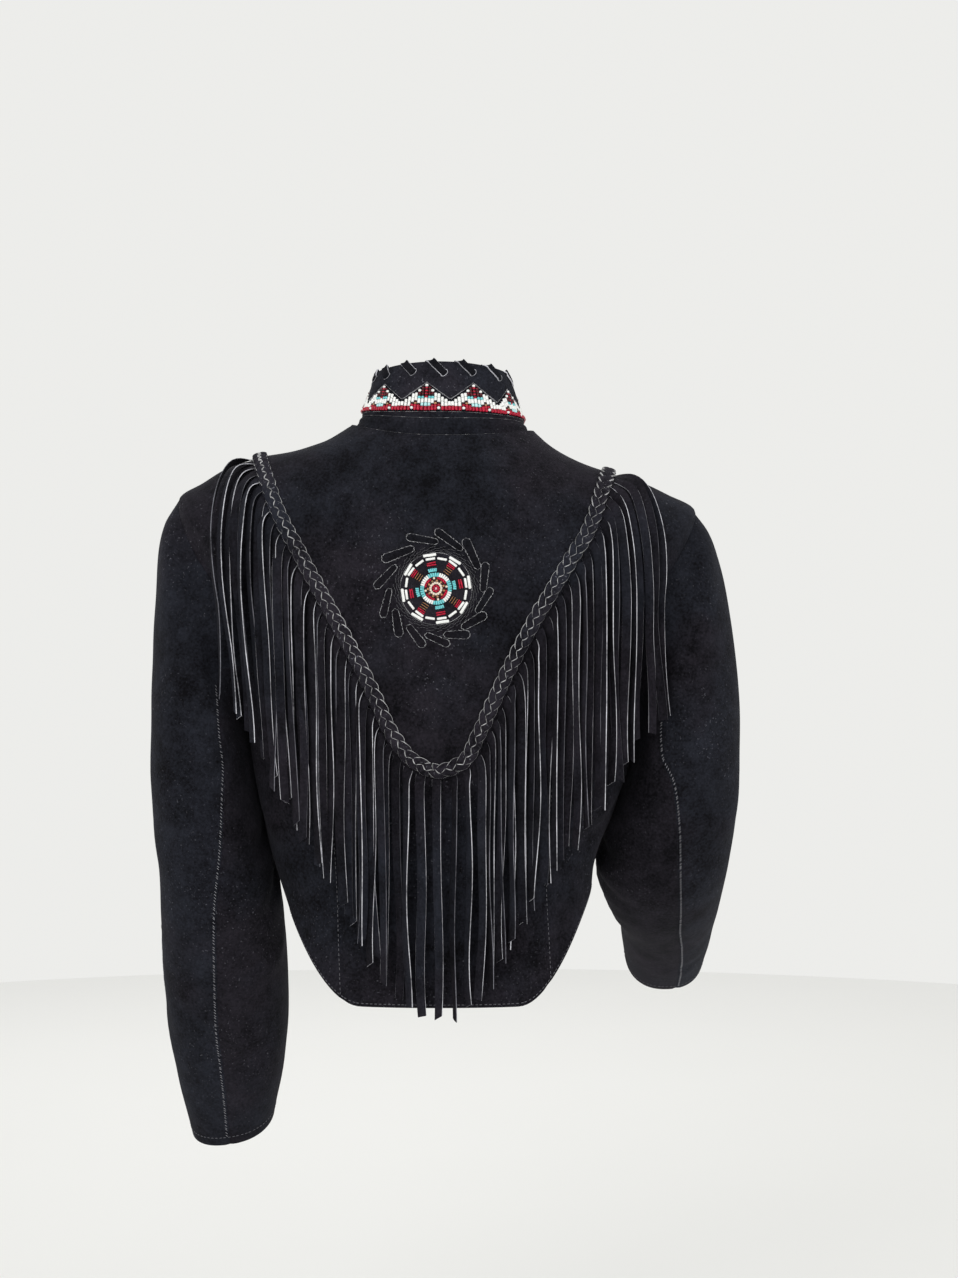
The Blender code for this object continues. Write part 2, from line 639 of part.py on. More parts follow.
def yoke_curve(shares):
    """Where the braid's middle line runs on the body, at these shares of its whole length.

    Gives the points, the body's normals, the directions along the line and down off the yoke, and
    the line's length."""
    x, z = yoke_outline()
    base, _ = on_back(x, z)
    run = np.concatenate([[0], np.cumsum(np.linalg.norm(np.diff(base, axis=0), axis=1))])
    small = 1e-3

    def at(share):
        return on_back(np.interp(share * run[-1], run, x), np.interp(share * run[-1], run, z))

    base, normal = at(shares)
    along = unit(at(np.minimum(shares + small, 1))[0] - at(np.maximum(shares - small, 0))[0])
    return base, normal, along, unit(np.cross(along, normal)), run[-1]


def back_columns(v):
    """The angles of the back panels' columns in each row, from the left edge to the right one."""
    left, right = armhole_edge(v, BACK_REACH), math.pi - armhole_edge(v, BACK_REACH)
    middle = between(seam_angle(1, v), seam_angle(-1, v), CENTRE_COLUMNS)
    before = between(left, seam_angle(1, v), SIDE_COLUMNS)[..., :-1]
    after = between(seam_angle(-1, v), right, SIDE_COLUMNS)[..., 1:]
    return np.concatenate([before, middle, after], axis=-1)


def yoke_place(column, v):
    """The angle of a place on the back, given in columns and rows of the back's grid."""
    columns = back_columns(v)
    low = np.minimum(column.astype(int), columns.shape[-1] - 2)
    every = np.arange(len(v))
    share = column - low
    return columns[every, low] * (1 - share) + columns[every, low + 1] * share


def inside_yoke(column, v, line):
    """Whether these places lie between the two arms of the braid's line."""
    x, z = line
    lowest = int(np.argmin(z))
    place = ring_point(BODY, yoke_place(column, v), v)
    left = np.interp(place[:, 2], z[: lowest + 1][::-1], x[: lowest + 1][::-1])
    right = np.interp(place[:, 2], z[lowest:], x[lowest:])
    return (place[:, 0] < left) & (place[:, 0] > right) & (place[:, 2] > z[lowest])


def yoke(material):
    """The yoke lies on the back, from the neck and the shoulder seams down to the braid's line.

    It keeps the back panels' own rows and columns, so that the two lie parallel, and each square
    that the line crosses is cut along it."""
    line = yoke_outline()
    columns = CENTRE_COLUMNS + 2 * SIDE_COLUMNS + 1
    rows = body_rows()
    rows = rows[rows < WAIST_ROW]
    rows[0] = YOKE_NECK
    column, v = (grid.ravel() for grid in np.meshgrid(np.arange(columns, dtype=float), rows))
    inside = inside_yoke(column, v, line)
    places = list(zip(column, v))
    crossings = {}
    squares = []
    for i in range(len(rows) - 1):
        for j in range(columns - 1):
            corner = i * columns + j
            square = [corner, corner + 1, corner + columns + 1, corner + columns]
            kept = []
            for one, two in zip(square, square[1:] + square[:1]):
                if inside[one]:
                    kept.append(one)
                if inside[one] != inside[two]:
                    key = (min(one, two), max(one, two))
                    kept.append(crossings.setdefault(key, len(places) + len(crossings)))
            if len(kept) > 2:
                squares.append(kept)
    ends = np.array([[places[one], places[two]] for one, two in crossings])
    turned = np.array([inside[two] for _, two in crossings])
    ends[turned] = ends[turned][:, ::-1]
    low, high = np.zeros(len(ends)), np.ones(len(ends))
    for _ in range(30):
        middle = (low + high) / 2
        tried = ends[:, 0] + (ends[:, 1] - ends[:, 0]) * middle[:, None]
        within = inside_yoke(tried[:, 0], tried[:, 1], line)
        low, high = np.where(within, middle, low), np.where(within, high, middle)
    cut = ends[:, 0] + (ends[:, 1] - ends[:, 0]) * low[:, None]
    every = np.concatenate([np.array(places), cut])
    used = sorted({corner for square in squares for corner in square})
    number = {corner: k for k, corner in enumerate(used)}
    squares = [[number[corner] for corner in square] for square in squares]
    column, v = every[used].T
    angle = np.clip(yoke_place(column, v), YOKE_SIDE, math.pi - YOKE_SIDE)
    base, normal = body_surface(angle, v)
    low = base + YOKE_GAP * normal
    return thick_patch("yoke_back", low + TRIM_SUEDE * normal, low, squares, material)


def tube(rings):
    """Faces between rings of the same number of points, with both ends closed."""
    size = len(rings[0])
    faces = []
    for k in range(len(rings) - 1):
        for j in range(size):
            after = (j + 1) % size
            faces.append(
                (k * size + j, k * size + after, (k + 1) * size + after, (k + 1) * size + j)
            )
    faces.append(tuple(reversed(range(size))))
    faces.append(tuple(range((len(rings) - 1) * size, len(rings) * size)))
    return np.concatenate(rings), faces


def braid(label, start, end, material):
    """A plaited strip whose crossing strands rise by turns on its left and on its right."""
    length = yoke_curve(np.array([0.0, 1.0]))[-1]
    repeats = round((end - start) * length / PLAIT_LENGTH)
    shares = np.linspace(start, end, 2 * PLAIT_STEPS * repeats + 1)
    base, normal, along, off, _ = yoke_curve(shares)
    rings = []
    for k in range(len(shares)):
        phase = k / (2 * PLAIT_STEPS) * 2 * math.pi
        left, right = 0.5 + 0.5 * math.cos(phase), 0.5 - 0.5 * math.cos(phase)
        half = BRAID_WIDTH / 2
        profile = [
            (-half * (0.80 + 0.20 * left), BRAID_LIFT + BRAID_EDGE),
            (-half * 0.55, BRAID_LIFT + BRAID_THICK + BRAID_PLAIT * left),
            (half * 0.15 * (left - right), BRAID_LIFT + BRAID_THICK + BRAID_PLAIT * 0.35),
            (half * 0.55, BRAID_LIFT + BRAID_THICK + BRAID_PLAIT * right),
            (half * (0.80 + 0.20 * right), BRAID_LIFT + BRAID_EDGE),
        ]
        rings.append(
            np.array([base[k] + across * off[k] + lift * normal[k] for across, lift in profile])
        )
    points, faces = tube(rings)
    return new_piece("braid_" + label, points, faces, material)


def cloth_tree(pieces):
    """The outer faces of these pieces, for laying the fringe on them."""
    points, faces = [], []
    for piece in pieces:
        first = len(points)
        points += [vertex.co.copy() for vertex in piece.data.vertices]
        for face in list(piece.data.polygons)[: piece["outside"]]:
            faces.append([first + i for i in face.vertices])
    return BVHTree.FromPolygons(points, faces)


def hang(tree, start, direction, length, lean):
    """The line of a strip that leaves in this direction, lies on the cloth and hangs from it."""
    stride = length / HANG_STEPS
    place, heading = Vector(start), Vector(direction).normalized()
    normal = tree.find_nearest(place)[1]
    line = [place.copy()]
    for k in range(HANG_STEPS):
        down = Vector((lean, COMBED_BACK * max(0, normal.z), -1)).normalized()
        heading += down * (stride / STRIP_BEND) - normal * CLING * max(0, heading.dot(normal))
        heading.normalize()
        after = place + heading * stride
        clear = LAY_GAP + STRIP_THICK + (STRIP_CLEAR - STRIP_THICK) * min(1, k * stride / 0.02)
        near, normal, _, distance = tree.find_nearest(after)
        if (after - near).dot(normal) < 0:
            distance = -distance
        if distance < clear:
            after += normal * (clear - distance)
        heading = (after - place).normalized()
        place = after
        line.append(place.copy())
    return np.array([tuple(point) for point in line])


def strip_rings(line, across, turn):
    """Four corners at each share of a strip, turned edge on as it leaves its root."""
    run = np.linspace(0, 1, len(line))
    rings = []
    width = across
    for share in STRIP_SHARES[1:]:
        middle = np.array([np.interp(share, run, line[:, axis]) for axis in range(3)])
        ahead = np.array([np.interp(min(share + 0.02, 1), run, line[:, axis]) for axis in range(3)])
        behind = np.array([np.interp(share - 0.02, run, line[:, axis]) for axis in range(3)])
        heading = unit(ahead - behind)
        width = unit(width - np.dot(width, heading) * heading)
        face = np.cross(heading, width)
        swing = turn * min(1.0, share / 0.1)
        wide = width * math.cos(swing) + face * math.sin(swing)
        deep = face * math.cos(swing) - width * math.sin(swing)
        wide, deep = wide * STRIP_WIDTH / 2, deep * STRIP_THICK / 2
        corners = [
            middle - wide + deep,
            middle - wide - deep,
            middle + wide - deep,
            middle + wide + deep,
        ]
        rings.append(np.array(corners))
    return rings


def fringe(label, start, end, turn, lean, tree, material):
    """A backing strip with every strip of the fringe grown out of its lower edge."""
    whole = yoke_curve(np.array([0.0, 1.0]))[-1]
    pitch = (end - start) / STRIPS_A_SIDE
    share_wide = STRIP_WIDTH / whole
    starts = start + pitch * (np.arange(STRIPS_A_SIDE) + 0.5) - share_wide / 2
    shares = np.sort(np.concatenate([starts, starts + share_wide]))
    base, normal, along, off, _ = yoke_curve(shares)
    low, high = LAY_GAP, LAY_GAP + STRIP_THICK
    points, faces = [], []
    for k in range(len(shares)):
        for across, lift in (
            (BACKING_FROM, low),
            (BACKING_TO, low),
            (BACKING_TO, high),
            (BACKING_FROM, high),
        ):
            points.append(base[k] + across * off[k] + lift * normal[k])
    for k in range(len(shares) - 1):
        for j in range(4):
            if k % 2 == 0 and j == 1:
                continue
            after = (j + 1) % 4
            faces.append((4 * k + j, 4 * k + after, 4 * k + 4 + after, 4 * k + 4 + j))
    faces.append((3, 2, 1, 0))
    last = 4 * (len(shares) - 1)
    faces.append((last, last + 1, last + 2, last + 3))
    for i in range(STRIPS_A_SIDE):
        one, two = 8 * i, 8 * i + 4
        root = [one + 2, one + 1, two + 1, two + 2]
        middle = np.mean([points[corner] for corner in root], axis=0)
        across = unit(points[two + 1] - points[one + 1])
        inward = (i if start == FRINGE_START else STRIPS_A_SIDE - 1 - i) / STRIPS_A_SIDE
        length = STRIP_LENGTH + (STRIP_LENGTH_MIDDLE - STRIP_LENGTH) * inward
        length += STRIP_SPREAD * math.sin(2.4 * i) * math.sin(0.7 * i + 1)
        line = hang(tree, middle, off[2 * i] + off[2 * i + 1], length, lean)
        ring = root
        for corners in strip_rings(line, across, turn + 0.1 * math.sin(0.9 * i)):
            first = len(points)
            points += list(corners)
            fresh = [first, first + 1, first + 2, first + 3]
            for j in range(4):
                after = (j + 1) % 4
                faces.append((ring[after], ring[j], fresh[j], fresh[after]))
            ring = fresh
        faces.append(tuple(reversed(ring)))
    return new_piece("fringe_" + label, points, faces, material)


def on_yoke(x, z, lift):
    base, normal = on_back(x, z)
    return base + (YOKE_GAP + TRIM_SUEDE + APPLIQUE_GAP + lift) * normal


def rosette(material):
    """A disc of beadwork in rings, domed towards its middle bead."""
    turns = np.linspace(0, 2 * math.pi, ROSETTE_SIDES, endpoint=False)
    rings = [
        on_yoke(ROSETTE_X + r * np.cos(turns), ROSETTE_Z + r * np.sin(turns), lift)
        for r, lift in ROSETTE_PROFILE
    ]
    points, faces = tube(rings)
    return new_piece("rosette", points, faces, material)


def feather(number, material):
    """One of the feathers that whirl round the rosette, a long leaf with round ends."""
    start = 2 * math.pi * number / FEATHERS
    root = FEATHER_ROOT * np.array([-math.sin(start), math.cos(start)])
    tip = FEATHER_TIP * np.array(
        [math.sin(FEATHER_SWING - start), math.cos(FEATHER_SWING - start)]
    )
    along = unit(tip - root)
    side = np.array([-along[1], along[0]])
    half = FEATHER_WIDTH / 2
    outline = []
    for middle, first in ((tip, -90), (root, 90)):
        for degrees in range(first, first + 181, 60):
            swing = math.radians(degrees)
            outline.append(middle + half * (math.cos(swing) * along + math.sin(swing) * side))
    outline = np.array(outline)
    inset = (root + tip) / 2 + (outline - (root + tip) / 2) * np.array([0.86])
    rings = []
    for shape, lift in ((outline, 0.0), (outline, 0.0004), (inset, 0.0009)):
        rings.append(on_yoke(ROSETTE_X + shape[:, 0], ROSETTE_Z + shape[:, 1], lift))
    points, faces = tube(rings)
    return new_piece(f"feather_{number + 1:02d}", points, faces, material)


def make_materials():
    made = {}
    for name, (colour, roughness) in MATERIALS.items():
        material = bpy.data.materials.new(name)
        material.use_nodes = True
        shader = material.node_tree.nodes["Principled BSDF"]
        shader.inputs["Base Color"].default_value = (*colour, 1)
        shader.inputs["Roughness"].default_value = roughness
        made[name] = material
    return made


def main():
    for old in list(bpy.data.objects):
        bpy.data.objects.remove(old)
    made = make_materials()
    cloth = back_panels(made["suede"]) + sleeves(made["suede"])
    front_panels(made["suede"])
    cloth.append(yoke(made["suede"]))
    collar(made["suede"], made["glass_beads"])
    collar_laces(made["suede_braid"])
    tree = cloth_tree(cloth)
    middle = 0.5
    braid("left", BRAID_END, middle - BRAID_MEETING, made["suede_braid"])
    braid("right", middle + BRAID_MEETING, 1 - BRAID_END, made["suede_braid"])
    fringe("left", FRINGE_START, middle, STRIP_TURN, LEFT_LEAN, tree, made["suede_fringe"])
    fringe("right", middle, 1 - FRINGE_START, -STRIP_TURN, 0.0, tree, made["suede_fringe"])
    rosette(made["glass_beads"])
    for number in range(FEATHERS):
        feather(number, made["stitched_feather"])


main()
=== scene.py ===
# The looks of a cropped black suede jacket with a braided V yoke, long fringe and beadwork.
# Metres, +Z up, +X towards the wearer's left, +Y behind the wearer.

import math
from collections import namedtuple
from functools import partial

import bpy
import numpy as np
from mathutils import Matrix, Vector
from mathutils.bvhtree import BVHTree


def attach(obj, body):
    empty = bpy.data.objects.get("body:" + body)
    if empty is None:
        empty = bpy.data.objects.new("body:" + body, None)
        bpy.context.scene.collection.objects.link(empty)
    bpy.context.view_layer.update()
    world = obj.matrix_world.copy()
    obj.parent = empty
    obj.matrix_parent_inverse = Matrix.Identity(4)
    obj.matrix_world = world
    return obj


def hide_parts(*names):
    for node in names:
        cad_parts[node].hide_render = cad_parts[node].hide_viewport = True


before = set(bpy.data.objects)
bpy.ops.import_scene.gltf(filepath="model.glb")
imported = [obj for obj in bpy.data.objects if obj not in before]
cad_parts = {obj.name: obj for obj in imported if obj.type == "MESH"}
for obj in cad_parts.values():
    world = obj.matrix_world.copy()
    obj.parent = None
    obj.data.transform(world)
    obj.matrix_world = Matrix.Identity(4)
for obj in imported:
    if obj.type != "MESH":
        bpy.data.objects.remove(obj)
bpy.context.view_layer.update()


class Wire:
    # a socket, so that shader maths reads as plain sums
    def __init__(self, tree, socket=None):
        self.tree = tree
        self.socket = socket

    def node(self, kind, settings=None, sockets=None, out=0):
        made = self.tree.nodes.new("ShaderNode" + kind)
        for name, value in (settings or {}).items():
            setattr(made, name, value)
        for name, value in (sockets or {}).items():
            if isinstance(value, Wire):
                self.tree.links.new(value.socket, made.inputs[name])
            else:
                made.inputs[name].default_value = value
        return Wire(self.tree, made.outputs[out] if made.outputs else None)

    def maths(self, operation, one, two):
        return self.node("Math", {"operation": operation}, {0: one, 1: two})

    def __add__(self, other):
        return self.maths("ADD", self, other)

    def __mul__(self, other):
        return self.maths("MULTIPLY", self, other)

    __radd__ = __add__
    __rmul__ = __mul__

    def noise(self, place, scale, detail=2.0, rough=0.5):
        return self.node("TexNoise", None,
                         {"Vector": place, "Scale": scale, "Detail": detail, "Roughness": rough})

    def fade(self, value, low, high):
        return self.node("MapRange", None, {"Value": value, "From Min": low, "From Max": high})

    def blend(self, share, one, two):
        return self.node("Mix", {"data_type": "RGBA"}, {0: share, 6: one, 7: two}, out=2)

    def bump(self, height, distance, strength=0.5):
        return self.node("Bump", None,
                         {"Strength": strength, "Height": height, "Distance": distance})


def material(name, look):
    made = bpy.data.materials.new(name)
    made.use_nodes = True
    tree = made.node_tree
    tree.nodes.clear()
    wire = Wire(tree)
    sockets = look(wire, wire.node("TexCoord", out="Object"))
    wire.node("OutputMaterial", None, {"Surface": wire.node("BsdfPrincipled", None, sockets)})
    made.diffuse_color = (0.05, 0.05, 0.06, 1)
    return made


def darker(colour, share):
    return tuple(share * part for part in colour[:3]) + (1,)


suedeLook = {
    "deep": (0.0024, 0.0023, 0.0033, 1),
    "cool": (0.0196, 0.0215, 0.0300, 1),
    "plum": (0.0225, 0.0198, 0.0268, 1),
    "dust": (0.24, 0.24, 0.28, 1),
    "brushed": 12.0,
    "blotch": 55.0,
    "grain": 420.0,
    "fibre": 1500.0,
    "tint": 8.0,
    "speck": 520.0,
    "patch": 13.0,
    "dustAmount": 0.55,
    # how much lighter the shoulders are painted, partly dust and partly painted sheen, and how
    # much lighter the cuffs are
    "shoulderSheenAndDust": 0.09,
    "paleCuffs": 0.10,
    "napHeight": 0.0007,
    "roughness": 0.95,
    "sheen": 0.03,
    "sheenTint": (0.68, 0.68, 0.80, 1),
    "shine": 0.07,
}


def suede(worn=1.0, dust=1.0, base=0.0, plum=0.0):
    # how strongly its nap is marked, how dusty, how pale and how warm it is
    def look(wire, place):
        height = wire.node("SeparateXYZ", None, {"Vector": place}, out=2)
        brushed = wire.noise(place, suedeLook["brushed"], 4.0, 0.6)
        blotch = wire.noise(place, suedeLook["blotch"], 4.0, 0.65)
        grain = wire.noise(place, suedeLook["grain"], 3.0, 0.6)
        fibre = wire.noise(place, suedeLook["fibre"], 2.0, 0.6)
        mixed = brushed * 0.30 + blotch * 0.34 + grain * 0.36
        # lighter towards the shoulders, partly dust and partly painted sheen, and lighter towards
        # the cuffs
        pale = (wire.fade(height, -0.13, -0.03) * suedeLook["shoulderSheenAndDust"]
                + wire.fade(height, -0.46, -0.62) * suedeLook["paleCuffs"])
        tone = wire.fade(mixed, 0.39, 0.64) * worn + base + pale
        tint = wire.fade(wire.noise(place, suedeLook["tint"], 3.0) + plum, 0.42, 0.58)
        high = wire.blend(tint, suedeLook["cool"], suedeLook["plum"])
        colour = wire.blend(tone, suedeLook["deep"], high)
        speck = wire.fade(wire.noise(place, suedeLook["speck"], 1.5), 0.66, 0.80)
        patch = wire.fade(wire.noise(place, suedeLook["patch"], 4.0), 0.38, 0.72)
        dusty = speck * patch * (suedeLook["dustAmount"] * dust)
        nap = grain * 0.55 + fibre * 0.45
        return {
            "Base Color": wire.blend(dusty, colour, suedeLook["dust"]),
            "Roughness": suedeLook["roughness"],
            "Sheen Weight": suedeLook["sheen"],
            "Sheen Roughness": 0.55,
            "Sheen Tint": suedeLook["sheenTint"],
            "Specular IOR Level": suedeLook["shine"],
            "Normal": wire.bump(nap, suedeLook["napHeight"], 0.75),
        }

    return look


def cutEdge(pale, worn=38.0):
    def look(wire, place):
        tone = wire.fade(wire.noise(place, 480.0, 3.0), 0.34, 0.60)
        wear = wire.fade(wire.noise(place, worn, 3.0), 0.36, 0.60)
        return {
            "Base Color": wire.blend(tone * 0.35 + wear * 0.65, darker(pale, 0.16), pale),
            "Roughness": 0.95,
            "Specular IOR Level": 0.1,
            "Normal": wire.bump(tone, 0.0003),
        }

    return look


def glassBead(colour, shade=0.55, gloss=0.18, shine=0.55):
    def look(wire, place):
        streak = wire.fade(wire.noise(place, 700.0, 1.0), 0.35, 0.65)
        return {
            "Base Color": wire.blend(streak, darker(colour, shade), colour),
            "Roughness": gloss,
            "Specular IOR Level": shine,
            "Coat Weight": 0.25 if shine > 0.4 else 0.0,
        }

    return look


def thread(colour):
    def look(wire, place):
        twist = wire.fade(wire.noise(place, 1500.0, 2.0), 0.35, 0.65)
        return {
            "Base Color": wire.blend(twist, darker(colour, 0.5), colour),
            "Roughness": 0.8,
            "Normal": wire.bump(twist, 0.0002),
        }

    return look


looks = {
    "blackSuede": suede(1.0, 1.0, -0.04),
    # the sleeves' top panels get a lighter, cooler copy of the suede as painted light, and their
    # under panels a darker, warmer copy, partly painted shade under the arm
    "outerSuedeLit": suede(1.0, 1.0, 0.01, -0.14),
    "underSuede": suede(0.9, 0.8, -0.03, 0.08),
    "insideSuede": suede(0.55, 0.0),
    "fringeSuede": suede(0.9, 0.5, 0.15),
    # a darker copy of the fringe's suede, painted shade for strips turned away from the light
    "fringeDark": suede(0.8, 0.3, -0.04, 0.05),
    "braidSuede": suede(1.5, 4.5, 0.12),
    "pointsSuede": suede(1.2, 1.6),
    "featherSuede": suede(0.55, 0.3),
    "laceSuede": suede(0.35, 0.2),
    "feltBlack": suede(0.9, 0.6, 0.30),
    "cutEdge": cutEdge((0.80, 0.80, 0.87, 1)),
    "braidEdge": cutEdge((0.66, 0.66, 0.67, 1), 90.0),
    # a dark copy of the cut edge, painted shade on the edges of strips turned away from the light
    "edgeShade": cutEdge((0.20, 0.20, 0.23, 1)),
    "dullEdge": cutEdge((0.045, 0.045, 0.052, 1)),
    "seamThread": thread((0.15, 0.15, 0.17, 1)),
    "chainThread": thread((0.46, 0.46, 0.48, 1)),
    "hatchThread": thread((0.30, 0.30, 0.33, 1)),
    "faintThread": thread((0.17, 0.17, 0.185, 1)),
    "whiteBead": glassBead((0.96, 0.97, 0.95, 1), 0.88),
    "turquoiseBead": glassBead((0.17, 0.66, 0.70, 1), 0.75),
    "skyBead": glassBead((0.50, 0.86, 0.88, 1), 0.85),
    "redBead": glassBead((0.60, 0.003, 0.040, 1), 0.40, 0.28, 0.3),
    "pinkBead": glassBead((0.88, 0.45, 0.50, 1), 0.8),
    "creamBead": glassBead((0.90, 0.78, 0.64, 1), 0.8),
    "goldBead": glassBead((0.55, 0.27, 0.11, 1), 0.45),
    "maroonBead": glassBead((0.16, 0.003, 0.012, 1), 0.35, 0.3, 0.3),
    "brownBead": glassBead((0.045, 0.003, 0.006, 1), 0.3, 0.3, 0.3),
}
finishes = {name: material(name, look) for name, look in looks.items()}
print("materials made")


# the surfaces that the jacket's pieces follow are drawn through rings, one row for each ring
BodyRow = namedtuple(
    "BodyRow", "wLeft zLeft wRight zRight yBack zBack yFront zFront n seamLeft seamRight"
)
SleeveRow = namedtuple("SleeveRow", "xOut zOut xIn zIn y back front pitch seam")

# rings from the neck down to the hem
bodyRings = [
    BodyRow(0.0806, 0.0055, 0.0830, 0.0000, 0.064, -0.009, -0.060, -0.068, 2.2, 0.050, 0.051),
    BodyRow(0.1120, -0.0127, 0.1050, -0.0190, 0.071, -0.024, -0.078, -0.086, 2.4, 0.064, 0.064),
    BodyRow(0.1350, -0.0200, 0.1260, -0.0300, 0.079, -0.041, -0.092, -0.102, 2.5, 0.074, 0.074),
    BodyRow(0.1600, -0.0240, 0.1520, -0.0390, 0.086, -0.061, -0.103, -0.120, 2.6, 0.084, 0.084),
    BodyRow(0.1900, -0.0310, 0.1800, -0.0450, 0.093, -0.085, -0.110, -0.139, 2.7, 0.092, 0.092),
    BodyRow(0.2180, -0.0460, 0.2070, -0.0575, 0.098, -0.111, -0.114, -0.157, 2.8, 0.098, 0.098),
    BodyRow(0.2400, -0.0620, 0.2310, -0.0735, 0.101, -0.135, -0.116, -0.173, 2.9, 0.102, 0.102),
    BodyRow(0.2350, -0.0920, 0.2260, -0.1010, 0.102, -0.155, -0.117, -0.188, 2.9, 0.104, 0.104),
    BodyRow(0.2210, -0.1280, 0.2130, -0.1340, 0.102, -0.179, -0.117, -0.206, 2.8, 0.104, 0.104),
    BodyRow(0.2060, -0.1660, 0.1990, -0.1700, 0.100, -0.205, -0.115, -0.228, 2.7, 0.102, 0.102),
    BodyRow(0.1900, -0.2080, 0.1860, -0.2100, 0.098, -0.233, -0.113, -0.250, 2.6, 0.100, 0.100),
    BodyRow(0.1795, -0.2500, 0.1778, -0.2500, 0.095, -0.263, -0.110, -0.272, 2.5, 0.098, 0.098),
    BodyRow(0.1745, -0.2880, 0.1740, -0.2880, 0.092, -0.294, -0.107, -0.298, 2.5, 0.096, 0.096),
    BodyRow(0.1668, -0.3350, 0.1615, -0.3350, 0.089, -0.336, -0.103, -0.337, 2.5, 0.092, 0.093),
    BodyRow(0.1575, -0.3750, 0.1465, -0.3720, 0.087, -0.374, -0.100, -0.375, 2.5, 0.089, 0.090),
    BodyRow(0.1475, -0.4100, 0.1385, -0.4000, 0.087, -0.412, -0.098, -0.404, 2.5, 0.087, 0.090),
    BodyRow(0.1385, -0.4360, 0.1370, -0.4160, 0.092, -0.512, -0.102, -0.444, 2.5, 0.084, 0.095),
]
collarRings = [
    BodyRow(0.0786, 0.0038, 0.0808, -0.0018, 0.0621, -0.0106, -0.0581, -0.0696, 2.2, 0, 0),
    BodyRow(0.0720, 0.0170, 0.0750, 0.0100, 0.0610, 0.013, -0.0570, -0.048, 2.2, 0, 0),
    BodyRow(0.0665, 0.0310, 0.0690, 0.0250, 0.0570, 0.029, -0.0530, -0.033, 2.2, 0, 0),
    BodyRow(0.0626, 0.0425, 0.0645, 0.0395, 0.0535, 0.044, -0.0495, -0.019, 2.2, 0, 0),
    BodyRow(0.0580, 0.0522, 0.0600, 0.0505, 0.0505, 0.0575, -0.0460, -0.007, 2.2, 0, 0),
]
leftRings = [
    SleeveRow(0.2530, -0.083, 0.1785, -0.257, 0.000, 0.070, 0.068, 0, 122),
    SleeveRow(0.2585, -0.110, 0.1787, -0.267, 0.000, 0.074, 0.072, 0, 121),
    SleeveRow(0.2600, -0.150, 0.1765, -0.279, 0.002, 0.075, 0.073, 0, 121),
    SleeveRow(0.2630, -0.198, 0.1735, -0.295, 0.002, 0.074, 0.072, 0, 121),
    SleeveRow(0.2645, -0.250, 0.1695, -0.315, 0.003, 0.073, 0.071, 0, 122),
    SleeveRow(0.2645, -0.305, 0.1655, -0.339, 0.004, 0.070, 0.068, 2, 118),
    SleeveRow(0.2610, -0.365, 0.1590, -0.372, 0.004, 0.066, 0.064, 7, 109),
    SleeveRow(0.2570, -0.425, 0.1492, -0.420, -0.002, 0.062, 0.058, 14, 94),
    SleeveRow(0.2570, -0.487, 0.1442, -0.476, -0.018, 0.060, 0.056, 19, 89),
    SleeveRow(0.2570, -0.530, 0.1440, -0.521, -0.033, 0.057, 0.054, 20, 88),
    SleeveRow(0.2500, -0.590, 0.1490, -0.580, -0.054, 0.053, 0.050, 20, 90),
    SleeveRow(0.2390, -0.653, 0.1610, -0.642, -0.077, 0.046, 0.044, 20, 92),
]
rightRings = [
    SleeveRow(-0.2440, -0.094, -0.1780, -0.257, 0.000, 0.070, 0.068, 0, 122),
    SleeveRow(-0.2520, -0.115, -0.1790, -0.268, 0.000, 0.074, 0.072, 0, 122),
    SleeveRow(-0.2600, -0.145, -0.1762, -0.281, -0.001, 0.075, 0.073, 0, 122),
    SleeveRow(-0.2660, -0.187, -0.1725, -0.298, -0.002, 0.074, 0.072, 0, 121),
    SleeveRow(-0.2712, -0.233, -0.1665, -0.318, -0.005, 0.072, 0.070, 0, 116),
    SleeveRow(-0.2740, -0.285, -0.1585, -0.342, -0.010, 0.069, 0.067, 2, 100),
    SleeveRow(-0.2734, -0.335, -0.1500, -0.367, -0.018, 0.066, 0.063, 9, 90),
    SleeveRow(-0.2690, -0.380, -0.1440, -0.395, -0.037, 0.064, 0.060, 28, 82),
    SleeveRow(-0.2670, -0.411, -0.1500, -0.418, -0.072, 0.062, 0.057, 46, 79),
    SleeveRow(-0.2672, -0.445, -0.1690, -0.447, -0.130, 0.057, 0.053, 56, 78),
    SleeveRow(-0.2676, -0.479, -0.1777, -0.480, -0.185, 0.051, 0.049, 57, 76),
    SleeveRow(-0.2660, -0.510, -0.1850, -0.511, -0.232, 0.045, 0.044, 57, 76),
]
# x and z of the braid's middle line, from the left shoulder to the right one
yokeLine = [
    (0.168, -0.020), (0.156, -0.044), (0.141, -0.080), (0.117, -0.124), (0.086, -0.180),
    (0.060, -0.231), (0.039, -0.276), (0.021, -0.297), (0.001, -0.305), (-0.021, -0.296),
    (-0.035, -0.270), (-0.053, -0.230), (-0.080, -0.177), (-0.105, -0.135), (-0.131, -0.092),
    (-0.144, -0.056), (-0.153, -0.037),
]
cut = {
    "suede": 0.0018,
    "yokeSuede": 0.0015,
    "seamGap": 0.00006,
    "armholeGap": 0.0002,
    "layGap": 0.0005,
    "yokeGap": 0.0012,
    "yokeNeck": 0.06,
    "yokeSide": 0.006,
    "frontGap": 0.003,
    "waistRow": 15,
    "tailReach": 0.5,
    "tipRow": 6,
    "pitRow": 11,
    "backReach": math.radians(37),
    "frontReach": math.radians(35),
    "sleeveSquareness": 2.3,
    "frontSeam": -126.0,
    "armholeSeam": 126.0,
}


